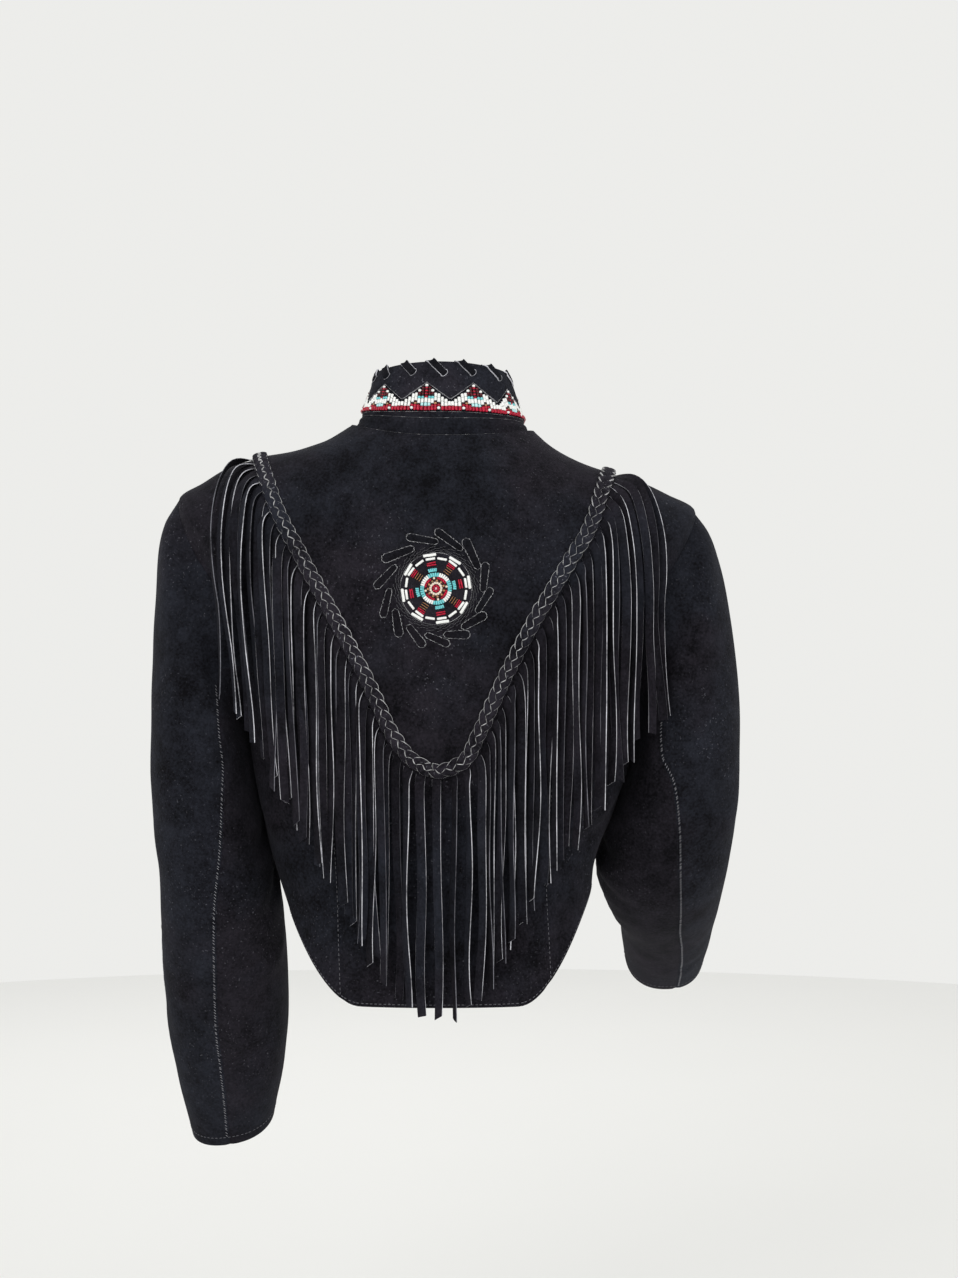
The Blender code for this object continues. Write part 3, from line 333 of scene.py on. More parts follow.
def through(rows, v):
    v = np.clip(v, 0, len(rows) - 1)
    rows = np.broadcast_to(rows, (len(rows),) + v.shape + (rows.shape[-1],))
    step = np.diff(rows, axis=0)
    before, after = step[:-1], step[1:]
    turning = before * after <= 0
    inner = np.where(turning, 0, 2 * before * after / np.where(turning, 1, before + after))
    tangent = np.concatenate([step[:1], inner, step[-1:]])
    low = np.minimum(v.astype(int), len(rows) - 2)
    t = (v - low)[..., None]
    low = low[None, ..., None]

    def pick(values, index):
        return np.take_along_axis(values, index, axis=0)[0]

    start, end = pick(rows, low), pick(rows, low + 1)
    rise = t * t * (3 - 2 * t)
    leave = t * (1 - t) ** 2 * pick(tangent, low)
    arrive = t * t * (t - 1) * pick(tangent, low + 1)
    return start + rise * (end - start) + leave + arrive


def ringRow(rings, v):
    flat = np.array([tuple(row) for row in rings], float)
    flat = flat.reshape((len(flat),) + (1,) * np.ndim(v) + (flat.shape[-1],))
    return BodyRow(*np.moveaxis(through(flat, np.asarray(v, float)), -1, 0))


def squared(angle, n):
    # how far across and how deep a ring with squared corners is at this turn
    cos, sin = np.cos(angle), np.sin(angle)
    size = (np.abs(cos) ** n + np.abs(sin) ** n) ** (1 / n)
    return cos / size, sin / size


def ringPoint(rings, angle, v):
    angle, v = np.broadcast_arrays(np.asarray(angle, float), np.asarray(v, float))
    row = ringRow(rings, v)
    across, depth = squared(angle, row.n)
    back = depth >= 0
    x = across * np.where(across >= 0, row.wLeft, row.wRight)
    y = np.abs(depth) * np.where(back, row.yBack, row.yFront)
    side = np.where(across >= 0, row.zLeft, row.zRight)
    middle = np.where(back, row.zBack, row.zFront)
    tail = np.sin(np.clip((1 - np.abs(across)) / cut["tailReach"], 0, 1) * math.pi / 2)
    nearHem = np.clip(v - cut["waistRow"], 0, 1) * back
    fall = depth**2 * (1 - nearHem) + tail * nearHem
    return np.stack([x, y, side + (middle - side) * fall], axis=-1)


bodyPoint = partial(ringPoint, bodyRings)


def unit(vectors):
    return vectors / np.linalg.norm(vectors, axis=-1, keepdims=True)


def surface(point, a, b, outward=1):
    small = 1e-4
    across = point(a + small, b) - point(a - small, b)
    down = point(a, b + small) - point(a, np.maximum(b - small, 0))
    return point(a, b), outward * unit(np.cross(down, across))


def sideAngle(side, angle):
    return angle if side > 0 else math.pi - angle


def armholeRing(side, turn):
    reach = np.where(np.sin(turn) >= 0, cut["backReach"], cut["frontReach"])
    v = cut["tipRow"] + (cut["pitRow"] - cut["tipRow"]) * (1 - np.cos(turn)) / 2
    return sideAngle(side, reach * np.sin(turn)), v


def sleevePoint(side, turn, v):
    turn, v = np.broadcast_arrays(np.asarray(turn, float), np.asarray(v, float))
    across, depth = squared(turn, cut["sleeveSquareness"])
    rings = [bodyPoint(*armholeRing(side, turn))]
    for row in leftRings if side > 0 else rightRings:
        pitch = math.radians(row.pitch)
        reach = depth * np.where(depth >= 0, row.back, row.front)
        x = (row.xOut + row.xIn) / 2 + across * (row.xOut - row.xIn) / 2
        y = row.y + reach * math.cos(pitch)
        z = (row.zOut + row.zIn) / 2 + across * (row.zOut - row.zIn) / 2
        rings.append(np.stack([x, y, z - reach * math.sin(pitch)], axis=-1))
    return through(np.array(rings), v)


def sleeveSurface(side, turn, v):
    return surface(partial(sleevePoint, side), turn, v, side)


def backAngle(x, v):
    row = ringRow(bodyRings, v)
    across = np.clip(x / np.where(x >= 0, row.wLeft, row.wRight), -1, 1)
    depth = (1 - np.abs(across) ** row.n) ** (1 / row.n)
    return np.arctan2(depth, across)


def backRow(x, z):
    x, z = np.broadcast_arrays(np.asarray(x, float), np.asarray(z, float))
    low, high = np.zeros(x.shape), np.full(x.shape, float(cut["waistRow"] + 1))
    for _ in range(40):
        middle = (low + high) / 2
        row = ringRow(bodyRings, middle)
        width = np.where(x >= 0, row.wLeft, row.wRight)
        outside = (np.abs(x) >= width) & (middle < cut["tipRow"])
        above = ringPoint(bodyRings, backAngle(x, middle), middle)[..., 2] > z
        low, high = np.where(outside | above, middle, low), np.where(outside | above, high, middle)
    return (low + high) / 2


# creases are soft troughs and ridges, each a row of turn in degrees and ring number at its
# start, middle and end, then its half width and its depth in mm (a ridge is negative)
bodyCreases = [
    (32, 6.4, 35, 7.6, 34, 9.0, 9, 2.2), (44, 7.2, 48, 8.6, 47, 10.2, 13, 1.6),
    (148, 6.6, 144, 7.8, 146, 9.2, 9, 2.2), (136, 7.4, 131, 8.8, 133, 10.4, 13, 1.6),
    (14, 11.6, 30, 12.4, 52, 12.9, 10, 2.4), (12, 12.6, 28, 13.6, 46, 14.2, 9, -1.8),
    (166, 11.7, 150, 12.6, 126, 13.0, 10, 2.6), (170, 12.9, 154, 13.7, 136, 14.0, 8, 2.0),
    (70, 13.2, 88, 13.6, 108, 13.3, 16, 1.2), (80, 1.0, 72, 2.2, 60, 3.4, 14, -1.0),
    (102, 1.0, 112, 2.3, 122, 3.6, 14, -1.0), (-30, 6.6, -36, 8.0, -34, 9.6, 10, 2.2),
    (-148, 6.6, -144, 8.0, -146, 9.6, 10, 2.2), (-44, 8.0, -50, 9.6, -47, 11.4, 14, 1.8),
    (-136, 8.2, -130, 9.8, -134, 11.6, 14, 1.8), (-12, 12.0, -30, 12.8, -50, 13.2, 10, 2.4),
    (-168, 12.1, -150, 12.7, -128, 13.3, 10, 2.4), (-60, 2.0, -70, 4.0, -74, 6.2, 16, -1.4),
    (-120, 2.0, -110, 4.1, -106, 6.0, 16, -1.4), (-62, 14.0, -70, 15.0, -76, 15.7, 12, 1.4),
]
leftCreases = [
    (60, 1.1, 95, 1.7, 125, 2.7, 12, 1.6), (30, 0.5, 50, 1.2, 62, 2.4, 12, -1.6),
    (120, 3.6, 95, 4.4, 60, 4.9, 13, 1.8), (190, 6.2, 160, 7.0, 125, 7.3, 9, 3.0),
    (200, 7.2, 165, 7.9, 120, 8.4, 8, 2.6), (185, 8.3, 150, 8.9, 110, 9.0, 9, -2.0),
    (215, 6.7, 240, 7.5, 262, 7.8, 9, 2.6), (205, 8.0, 235, 8.5, 258, 8.4, 8, 2.2),
    (20, 6.8, 50, 7.3, 85, 7.0, 14, -1.6), (140, 10.2, 110, 10.7, 80, 10.5, 10, 1.4),
    (10, 9.7, 40, 10.3, 70, 10.2, 12, 1.5), (-20, 1.4, -60, 2.2, -95, 3.2, 13, 1.8),
    (-100, 7.1, -70, 7.8, -30, 8.0, 11, 2.0),
]
rightCreases = [
    (60, 1.0, 92, 1.6, 122, 2.6, 12, 1.6), (28, 0.5, 48, 1.3, 60, 2.6, 12, -1.6),
    (118, 3.5, 92, 4.3, 58, 4.9, 13, 1.8), (200, 6.9, 170, 7.4, 128, 7.6, 8, 4.2),
    (205, 7.7, 168, 8.2, 118, 8.5, 7, 3.8), (196, 8.4, 160, 9.1, 112, 9.4, 8, 2.4),
    (190, 6.1, 160, 6.5, 130, 6.5, 10, -2.2), (215, 7.1, 240, 7.7, 262, 8.1, 8, 3.6),
    (210, 8.2, 238, 8.7, 258, 9.0, 8, 2.8), (15, 6.6, 45, 7.2, 80, 7.0, 14, -1.8),
    (100, 10.2, 75, 10.9, 45, 10.8, 10, 1.4), (-25, 1.5, -62, 2.4, -92, 3.4, 13, 1.8),
    (-95, 6.9, -62, 7.5, -28, 7.7, 11, 2.2),
]


def creaseShift(points, creases, place):
    shift = np.zeros(points.shape[:-1])
    flat = points.reshape(-1, 3)
    for *marks, width, depth in creases:
        marks = np.array(marks, float).reshape(3, 1, 2)
        run = through(marks, np.linspace(0, len(marks) - 1, 28))
        line = place(np.radians(run[:, 0]), run[:, 1])
        apart = np.linalg.norm(flat[:, None, :] - line[None], axis=2)
        nearest = apart.argmin(axis=1)
        away = apart.min(axis=1) * 1000 / width
        ends = np.sin(math.pi * (nearest + 0.5) / len(line)) ** 0.7
        dip = np.exp(-away**2) - 0.35 * np.exp(-((away - 1.9) ** 2))
        shift -= (depth / 1000 * ends * dip).reshape(shift.shape)
    return shift


def drape(points):
    x, y, z = np.moveaxis(points, -1, 0)
    slow = np.sin(31 * x + 17 * z + 1.3) * np.sin(23 * z - 14 * y + 0.4)
    quick = np.sin(74 * x - 41 * z + 2.0) * np.sin(58 * z + 37 * y)
    return 0.0007 * slow + 0.0003 * quick


def onBody(angle, v, lift=0.0):
    # places that lie this far off the body's outer face, creases and all, with the normals
    angle, v = np.broadcast_arrays(np.asarray(angle, float), np.asarray(v, float))
    base, normal = surface(bodyPoint, angle, v)
    shift = creaseShift(base, bodyCreases, bodyPoint) + drape(base)
    return base + (shift + lift)[..., None] * normal, normal


def onBack(x, z, lift=0.0):
    v = backRow(x, z)
    return onBody(backAngle(np.asarray(x, float), v), v, lift)


def onSleeve(side, turn, v, lift=0.0):
    base, normal = sleeveSurface(side, turn, v)
    creases = leftCreases if side > 0 else rightCreases
    shift = creaseShift(base, creases, partial(sleevePoint, side)) + drape(base)
    shift *= np.clip(v / 0.6, 0, 1)
    return base + (shift + lift)[..., None] * normal, normal


print("surfaces ready")


def newPiece(name, points, faces, paints, faceKinds=None, stands=(), sharp=38):
    mesh = bpy.data.meshes.new(name)
    mesh.from_pydata(np.asarray(points, float).tolist(), [], [list(map(int, f)) for f in faces])
    for paint in paints:
        mesh.materials.append(finishes[paint])
    if faceKinds is not None:
        mesh.polygons.foreach_set("material_index", np.asarray(faceKinds, np.int32))
    mesh.shade_smooth()
    mesh.set_sharp_from_angle(angle=math.radians(sharp))
    mesh.update()
    piece = bpy.data.objects.new(name, mesh)
    bpy.context.scene.collection.objects.link(piece)
    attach(piece, "root")
    if stands:
        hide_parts(*stands)
    return piece


def camel(name):
    first, *rest = name.split("_")
    return first + "".join(word.title() for word in rest)


def cutSize(middle):
    # the flat width, length and area of a panel, measured along its own rows and columns
    across = np.linalg.norm(np.diff(middle, axis=1), axis=2)
    down = np.linalg.norm(np.diff(middle, axis=0), axis=2)
    one = np.cross(middle[1:, 1:] - middle[:-1, :-1], middle[1:, :-1] - middle[:-1, 1:])
    area = np.linalg.norm(one, axis=2).sum() / 2
    width, length = across.sum(axis=1).max(), down.sum(axis=0).max()
    return float(width), float(length), float(min(area, width * length))


def gridFaces(rows, columns):
    grid = np.arange(rows * columns).reshape(rows, columns)
    quads = np.stack([grid[:-1, :-1], grid[:-1, 1:], grid[1:, 1:], grid[1:, :-1]], -1)
    return grid, quads.reshape(-1, 4)


def facing(points, quads):
    corners = points[quads]
    return np.cross(corners[:, 2] - corners[:, 0], corners[:, 3] - corners[:, 1])


def shell(name, outer, inner, stands=(), paints=("blackSuede", "insideSuede", "dullEdge")):
    # a panel with its own thickness, from the grids of its two faces
    grid, front = gridFaces(*outer.shape[:2])
    count = grid.size
    rim = np.concatenate([grid[0], grid[1:, -1], grid[-1, -2::-1], grid[-2:0:-1, 0]])
    after = np.roll(rim, -1)
    edge = np.stack([after, rim, rim + count, after + count], -1)
    faces = np.concatenate([front, front[:, ::-1] + count, edge])
    flat = outer.reshape(-1, 3)
    away = (outer - inner).reshape(-1, 3)[front[:, 0]]
    if (facing(flat, front) * away).sum() < 0:
        faces = faces[:, ::-1]
    kinds = np.repeat([0, 1, 2], [len(front), len(front), len(edge)])
    points = np.concatenate([flat, inner.reshape(-1, 3)])
    piece = newPiece(name, points, faces, paints, kinds, stands)
    width, length, area = cutSize((outer + inner) / 2)
    cutList.append((name, width, length, area))
    return piece


cutList = []


def runAlong(line):
    # how far along a line each of its points is
    return np.concatenate([[0], np.cumsum(np.linalg.norm(np.diff(line, axis=0), axis=1))])


def between(start, end, steps):
    share = np.linspace(0, 1, steps + 1)
    start, end = np.asarray(start, float), np.asarray(end, float)
    return start[..., None] + (end - start)[..., None] * share


def seamDip(rows, columns, point, sides):
    # how far a panel's edge sinks into its seam, for the sides that are sewn
    deep, wide = seams["dip"], seams["dipWidth"]
    across = np.linalg.norm(np.diff(point, axis=1), axis=2)
    down = np.linalg.norm(np.diff(point, axis=0), axis=2)
    fromLeft = np.concatenate([np.zeros((rows, 1)), np.cumsum(across, axis=1)], axis=1)
    fromTop = np.concatenate([np.zeros((1, columns)), np.cumsum(down, axis=0)], axis=0)
    away = {"left": fromLeft, "right": fromLeft[:, -1:] - fromLeft,
            "top": fromTop, "bottom": fromTop[-1:] - fromTop}
    dip = np.zeros((rows, columns))
    for side in sides:
        dip = np.maximum(dip, deep * np.exp(-(away[side] / wide) ** 2))
    return dip


seams = {
    "dip": 0.0009,
    "dipWidth": 0.0024,
    "stitchLength": 0.0025,
    "stitchThick": 0.00062,
    "fromSeam": 0.0042,
    "hemFromEdge": 0.0026,
    "frontFromEdge": 0.010,
    "cuffFromEdge": 0.009,
    "pitch": 0.0042,
    "closePitch": 0.0040,
    "sleevePitch": 0.0029,
    "loosePitch": 0.0023,
}


# how finely the body's panels are divided
bodyGrid = {
    "rowSteps": 118,
    "centreColumns": 44,
    "sideColumns": 26,
    "frontColumns": 40,
}


def armholeShare(v):
    return np.clip((v - cut["tipRow"]) / (cut["pitRow"] - cut["tipRow"]), 0, 1)


def armholeEdge(v, reach):
    share = armholeShare(v)
    return reach * 2 * np.sqrt(share * (1 - share))


def bodyRows():
    tip, pit, steps = cut["tipRow"], cut["pitRow"], bodyGrid["rowSteps"]
    above = np.linspace(0, tip, steps // 3, endpoint=False)
    turn = np.linspace(0, math.pi, steps // 3)
    armhole = tip + (pit - tip) * (1 - np.cos(turn)) / 2
    below = np.linspace(pit, cut["waistRow"] + 1, steps // 3 + 1)[1:]
    return np.concatenate([above, armhole, below])


def stepAngle(angle, v, distance, point=bodyPoint):
    # the turn that moves a place this far round its ring
    small = 1e-3
    move = point(angle + small, v) - point(angle - small, v)
    return distance * 2 * small / np.linalg.norm(move, axis=-1)


def seamAngle(side, v):
    row = ringRow(bodyRings, v)
    return backAngle(row.seamLeft if side > 0 else -row.seamRight, v)


def armholeNormal(side, turn):
    _, body = surface(bodyPoint, *armholeRing(side, turn))
    start, sleeve = sleeveSurface(side, turn, np.full(turn.shape, 0.02))
    away = unit(sleevePoint(side, turn, np.full(turn.shape, 0.2)) - start)
    ridge = (np.sum(away * body, axis=-1) < 0)[..., None]
    middle = unit(body + sleeve)
    middle = middle / np.maximum(np.sum(middle * body, axis=-1, keepdims=True), 0.5)
    return np.where(ridge, middle, np.nan)


def bodyPanel(name, side, start, end, steps, sewn, armhole=None):
    v = bodyRows()
    angle = between(start(v), end(v), steps)
    rows = np.broadcast_to(v[:, None], angle.shape)
    outer, normal = onBody(angle, rows)
    dip = seamDip(*angle.shape, outer, sewn)
    if armhole is not None:
        turn = np.arccos(1 - 2 * armholeShare(v)) * np.where(np.sin(angle[:, armhole]) >= 0, 1, -1)
        both = armholeNormal(side, turn)
        cutAway = (v >= cut["tipRow"]) & (v <= cut["pitRow"])
        fine = cutAway[:, None] & ~np.isnan(both)
        normal[:, armhole] = np.where(fine, both, normal[:, armhole])
        bare, _ = surface(bodyPoint, angle[:, armhole], v)
        outer[:, armhole] = np.where(cutAway[:, None], bare, outer[:, armhole])
        dip[:, armhole] = np.where(cutAway, 0, dip[:, armhole])
    outer = outer - dip[..., None] * normal
    piece = shell(camel(name), outer, outer - cut["suede"] * normal, [name])
    return outer


def backSeam(side, toward):
    def place(v):
        angle = seamAngle(side, v)
        return angle + toward * stepAngle(angle, v, cut["seamGap"] / 2)

    return place


def sideEdge(side, way, reach):
    def place(v):
        outside = (v < cut["tipRow"]) | (v > cut["pitRow"])
        angle = armholeEdge(v, reach) + outside * stepAngle(0 * v, v, cut["seamGap"] / 2)
        return sideAngle(side, way * angle)

    return place


def frontEdge(side):
    def place(v):
        angle = np.full(v.shape, -math.pi / 2)
        return sideAngle(side, angle + stepAngle(angle, v, cut["frontGap"] / 2))

    return place


clothGrids = [
    bodyPanel("back_centre", 1, backSeam(1, 1), backSeam(-1, -1), bodyGrid["centreColumns"],
              ("left", "right")),
    bodyPanel("back_side_left", 1, sideEdge(1, 1, cut["backReach"]), backSeam(1, -1),
              bodyGrid["sideColumns"], ("left", "right"), armhole=0),
    bodyPanel("back_side_right", -1, backSeam(-1, 1), sideEdge(-1, 1, cut["backReach"]),
              bodyGrid["sideColumns"], ("left", "right"), armhole=-1),
]
bodyPanel("front_left", 1, sideEdge(1, -1, cut["frontReach"]), frontEdge(1),
          bodyGrid["frontColumns"], ("left",), armhole=0)
bodyPanel("front_right", -1, frontEdge(-1), sideEdge(-1, -1, cut["frontReach"]),
          bodyGrid["frontColumns"], ("right",), armhole=-1)
print("body panels made")


# and the sleeves' panels
sleeveGrid = {"rowSteps": 96, "topColumns": 60, "underColumns": 30}


def sleeveSeams(side):
    rings = leftRings if side > 0 else rightRings
    places = np.array([[cut["armholeSeam"]]] + [[row.seam] for row in rings])

    def back(v):
        return np.radians(through(places[:, None, :], v)[..., 0])

    def front(v):
        return np.full(np.shape(v), math.radians(cut["frontSeam"]))

    return back, front


def sleevePanel(name, side, start, end, steps):
    v = 12 * np.linspace(0, 1, sleeveGrid["rowSteps"] + 1) ** 1.15
    turn = between(start(v), end(v), steps)
    rows = np.broadcast_to(v[:, None], turn.shape).copy()
    small = 0.02
    speed = sleevePoint(side, turn[0], small) - sleevePoint(side, turn[0], 0 * rows[0])
    rows[0] = cut["armholeGap"] * small / np.linalg.norm(speed, axis=-1)
    outer, normal = onSleeve(side, turn, rows)
    _, near = sleeveSurface(side, turn[0], np.full(turn[0].shape, small))
    both = armholeNormal(side, turn[0])
    normal[0] = np.where(np.isnan(both), near, both)
    dip = seamDip(*turn.shape, outer, ("left", "right"))
    dip[0] = 0
    outer = outer - dip[..., None] * normal
    # top panels take the lighter copy of the suede, painted light, and under panels the darker
    # copy, painted shade
    face = "outerSuedeLit" if "top" in name else "underSuede"
    piece = shell(camel(name), outer, outer - cut["suede"] * normal, [name],
                  (face, "insideSuede", "dullEdge"))
    clothGrids.append(outer)


def sleeveShift(side, turn, v, distance):
    return stepAngle(turn, v, distance, partial(sleevePoint, side))


for side, label in ((1, "left"), (-1, "right")):
    back, front = sleeveSeams(side)

    def line(place, toward, whole=0.0):
        def at(v):
            turn = place(v) + whole
            return turn + toward * sleeveShift(side, turn, v, cut["seamGap"] / 2)

        return at

    sleevePanel("sleeve_top_" + label, side, line(front, 1), line(back, -1),
                sleeveGrid["topColumns"])
    sleevePanel("sleeve_under_" + label, side, line(back, 1), line(front, -1, 2 * math.pi),
                sleeveGrid["underColumns"])
print("sleeves made")


# and the yoke, with its lower edge along the braid's line
yokeGrid = {"columns": 110, "rows": 46}
outlineX, outlineZ = through(np.array(yokeLine)[:, None, :],
                             np.linspace(0, len(yokeLine) - 1, 400)).T
outlineV = backRow(outlineX, outlineZ)
outlineRun = runAlong(bodyPoint(backAngle(outlineX, outlineV), outlineV))


def yokeCurve(shares, across=0.0, lift=0.0):
    # places beside the braid's middle line: across it, down off the yoke, and off the body
    small = 1e-3

    def at(share):
        run = share * outlineRun[-1]
        v = backRow(np.interp(run, outlineRun, outlineX), np.interp(run, outlineRun, outlineZ))
        return backAngle(np.interp(run, outlineRun, outlineX), v), v

    angle, v = at(np.asarray(shares, float))
    base, normal = onBody(angle, v)
    one = bodyPoint(*at(np.minimum(shares + small, 1)))
    two = bodyPoint(*at(np.maximum(shares - small, 0)))
    along = unit(one - two)
    off = unit(np.cross(along, normal))
    across, lift = np.asarray(across, float), np.asarray(lift, float)
    place = base + across[..., None] * off + lift[..., None] * normal
    return place, normal, along, off


def yokePiece():
    # its columns keep their x, from the shoulder seams and the neck down to the braid's line
    x = np.linspace(outlineX[0] - 0.0006, outlineX[-1] + 0.0006, yokeGrid["columns"] + 1)
    lowV = backRow(x, np.interp(-x, -outlineX, outlineZ))
    fine = np.linspace(0, cut["tipRow"], 600)
    across = ringPoint(bodyRings, np.full(600, cut["yokeSide"]), fine)[:, 0]
    other = -ringPoint(bodyRings, np.full(600, math.pi - cut["yokeSide"]), fine)[:, 0]
    topV = np.where(x > 0, np.interp(x, across, fine), np.interp(-x, other, fine))
    topV = np.minimum(np.maximum(topV, cut["yokeNeck"]), lowV - 0.01)
    v = between(topV, lowV, yokeGrid["rows"]).T
    base, normal = onBody(backAngle(np.broadcast_to(x, v.shape), v), v)
    # it lies close along the seams of the shoulders and the neck
    gap = cut["yokeGap"] * np.minimum(1, 0.3 + np.linspace(0, 5, len(v)))[:, None, None]
    outer = base + (gap + cut["yokeSuede"]) * normal
    piece = shell("yokeBack", outer, base + gap * normal, ["yoke_back"])
    name, _, length, area = cutList.pop()
    cutList.append((name, float(runAlong(outer[0])[-1]), length, area))
    clothGrids.append(outer)


yokePiece()
print("yoke made")


def tubeFaces(first, rings, size):
    # the faces between rings of points, and then the two ends
    faces = [(a + j, a + (j + 1) % size, a + size + (j + 1) % size, a + size + j)
             for a in range(first, first + (rings - 1) * size, size) for j in range(size)]
    last = first + (rings - 1) * size
    return faces + [tuple(reversed(range(first, first + size))), tuple(range(last, last + size))]


def capsule(sides, rings):
    # a small template along x, with its length from -1 to 1 and its radius 1
    turns = np.linspace(0, 2 * math.pi, sides, endpoint=False)
    points = [(x, r * math.cos(t), r * math.sin(t)) for x, r in rings for t in turns]
    return np.array(points), tubeFaces(0, len(rings), sides)


stitchShape = capsule(6, [(-1, 0.35), (-0.62, 0.95), (0.62, 0.95), (1, 0.35)])
bugleShape = capsule(8, [(-1, 0.62), (-0.90, 0.97), (0.90, 0.97), (1, 0.62)])
seedShape = capsule(8, [(-1, 0.50), (-0.62, 0.90), (0, 1.0), (0.62, 0.90), (1, 0.50)])


def scatter(name, shape, items, paints, stands=()):
    # one mesh of many copies; an item is middle, half length, half width, half height, paint
    points, faces = shape
    placed, every, kinds = [], [], []
    for number, (middle, along, wide, high, kind) in enumerate(items):
        frameOf = np.stack([along, wide, high])
        placed.append(points @ frameOf + middle)
        first = number * len(points)
        every += [tuple(first + i for i in face) for face in faces]
        kinds += [kind] * len(faces)
    return newPiece(name, np.concatenate(placed), every, paints, kinds, stands, 50)


def pinned(one, two, normal, wide, high, kinds, share=1.0):
    # items for scatter, each lying from one place to another
    along = (two - one) / 2 * share
    across = unit(np.cross(normal, along))
    wide, high = np.asarray(wide, float)[..., None], np.asarray(high, float)[..., None]
    return list(zip((one + two) / 2, along, wide * across, high * normal, kinds))


def seamStitches(place, start, end, pitch, slant=0.0, lift=0.00012, jitter=0.12):
    # stitches along place(share) -> points and normals, evenly spaced over its length
    fine, _ = place(np.linspace(start, end, 300))
    run = runAlong(fine)
    count = max(2, int(run[-1] / pitch))
    wobble = jitter * pitch * np.sin(7.3 * np.arange(count) + 1.1) * np.sin(2.9 * np.arange(count))
    at = (np.arange(count) + 0.5) * run[-1] / count + wobble
    shares = np.interp(at, run, np.linspace(start, end, 300))
    small = 0.4 * seams["stitchLength"] / run[-1] * (end - start)
    middle, normal = place(shares)
    one, _ = place(shares - small)
    two, _ = place(shares + small)
    along = unit(two - one)
    wide = unit(np.cross(normal, along))
    turned = along * math.cos(slant) + wide * math.sin(slant)
    cross = wide * math.cos(slant) - along * math.sin(slant)
    half, thick = seams["stitchLength"] / 2, seams["stitchThick"] / 2
    return [(middle[k] + lift * normal[k], half * turned[k], thick * cross[k],
             thick * 0.8 * normal[k], 0) for k in range(count)]


def alongBody(start, reach, angleAt):
    # a seam's place on the body, by its share of the way down
    def place(share):
        v = start + reach * share
        return onBody(angleAt(v), v)

    return place


def nearEdge(point, angle, last, distance):
    # the row number of a line that lies this far up from an open edge
    above = point(angle, np.full(angle.shape, last)) - point(angle, np.full(angle.shape, last - 1))
    return last - distance / np.linalg.norm(above, axis=-1)


def princessPlace(side, toward):
    def angleAt(v):
        angle = seamAngle(side, v)
        return angle + stepAngle(angle, v, toward)

    return alongBody(5.4, 10.58, angleAt)


def frontEdgePlace(side):
    def angleAt(v):
        angle = np.full(v.shape, -math.pi / 2)
        return sideAngle(side, angle + stepAngle(angle, v, seams["frontFromEdge"]))

    return alongBody(0.3, 15.4, angleAt)


def hemPlace(fromAngle, toAngle):
    def place(share):
        angle = fromAngle + (toAngle - fromAngle) * share
        return onBody(angle, nearEdge(bodyPoint, angle, 16.0, seams["hemFromEdge"]))

    return place


def sleeveSeamPlace(side, toward):
    back, _ = sleeveSeams(side)

    def place(share):
        v = 0.25 + 11.6 * share
        turn = back(v)
        return onSleeve(side, turn + sleeveShift(side, turn, v, toward), v)

    return place


def cuffPlace(side):
    def place(share):
        turn = 2 * math.pi * share
        v = nearEdge(partial(sleevePoint, side), turn, 12.0, seams["cuffFromEdge"])
        return onSleeve(side, turn, v)

    return place


def sewing():
    items = []
    for side in (1, -1):
        shoulder = alongBody(0.3, 5.4, lambda v: sideAngle(side, np.full(v.shape, -0.05)))
        # the stitches of a princess seam are on the side panel
        for place, first, pitch in (
                (princessPlace(side, -side * seams["fromSeam"]), 0.05, "pitch"),
                (frontEdgePlace(side), 0.0, "pitch"), (shoulder, 0.0, "pitch"),
                (cuffPlace(side), 0.0, "closePitch")):
            items += seamStitches(place, first, 1.0, seams[pitch])
    for first, last, pitch in (
            (0.02, math.pi - 0.02, "closePitch"), (-0.02, -math.pi / 2 + 0.03, "pitch"),
            (math.pi + 0.02, 1.5 * math.pi - 0.03, "pitch")):
        items += seamStitches(hemPlace(first, last), 0.0, 1.0, seams[pitch])
    scatter("bodyStitches", stitchShape, items, ["seamThread"])
    items = []
    for side in (1, -1):
        items += seamStitches(sleeveSeamPlace(side, -seams["dipWidth"]), 0.16, 1.0,
                              seams["sleevePitch"], 0.80 * side, 0.00010, 0.3)
    # a few loose stitches show at the left sleeve's outer edge
    for start, sway in ((8.30, 6.0), (8.62, 4.0), (8.95, 5.0)):
        def mark(share):
            turn = np.radians(15 + sway * np.sin(2 * math.pi * share + start))
            return onSleeve(1, turn, start + 0.42 * share)

        items += seamStitches(mark, 0.0, 1.0, seams["loosePitch"])
    scatter("sleeveStitches", stitchShape, items, ["hatchThread"])


sewing()
print("seams sewn")


# the braid, plaited from three flat thongs a side
braidLook = {
    "lift": 0.0044,
    "sway": 0.0038,
    "cross": 0.0009,
    "period": 0.031,
    "thongWidth": 0.0076,
    "thongThick": 0.0013,
    "bevel": 0.00062,
    "stepsAPeriod": 26,
    "end": 0.004,
    "meeting": 0.001,
    "tuck": 0.6,
}


def ribbon(points, normal, width, thick, cup=0.0, rows=3, bevel=0.0):
    # rings of a flat strip: its face, one cut edge, its underside and the other edge
    ahead = unit(np.gradient(points, axis=0))
    side = unit(np.cross(ahead, normal))
    up = unit(np.cross(side, ahead))
    width = np.broadcast_to(np.asarray(width, float), (len(points),))[:, None]
    across = np.linspace(-0.5, 0.5, rows + 1)
    rings = []
    for level, order in ((1, across), (-1, across[::-1])):
        for part in order:
            bow = cup * (1 - (2 * part) ** 2)
            inset = bevel * np.sign(part) if level > 0 and abs(part) > 0.49 else 0.0
            rings.append(points + (part * width - inset) * side + (level * thick / 2 + bow) * up)
    return np.stack(rings, axis=1)


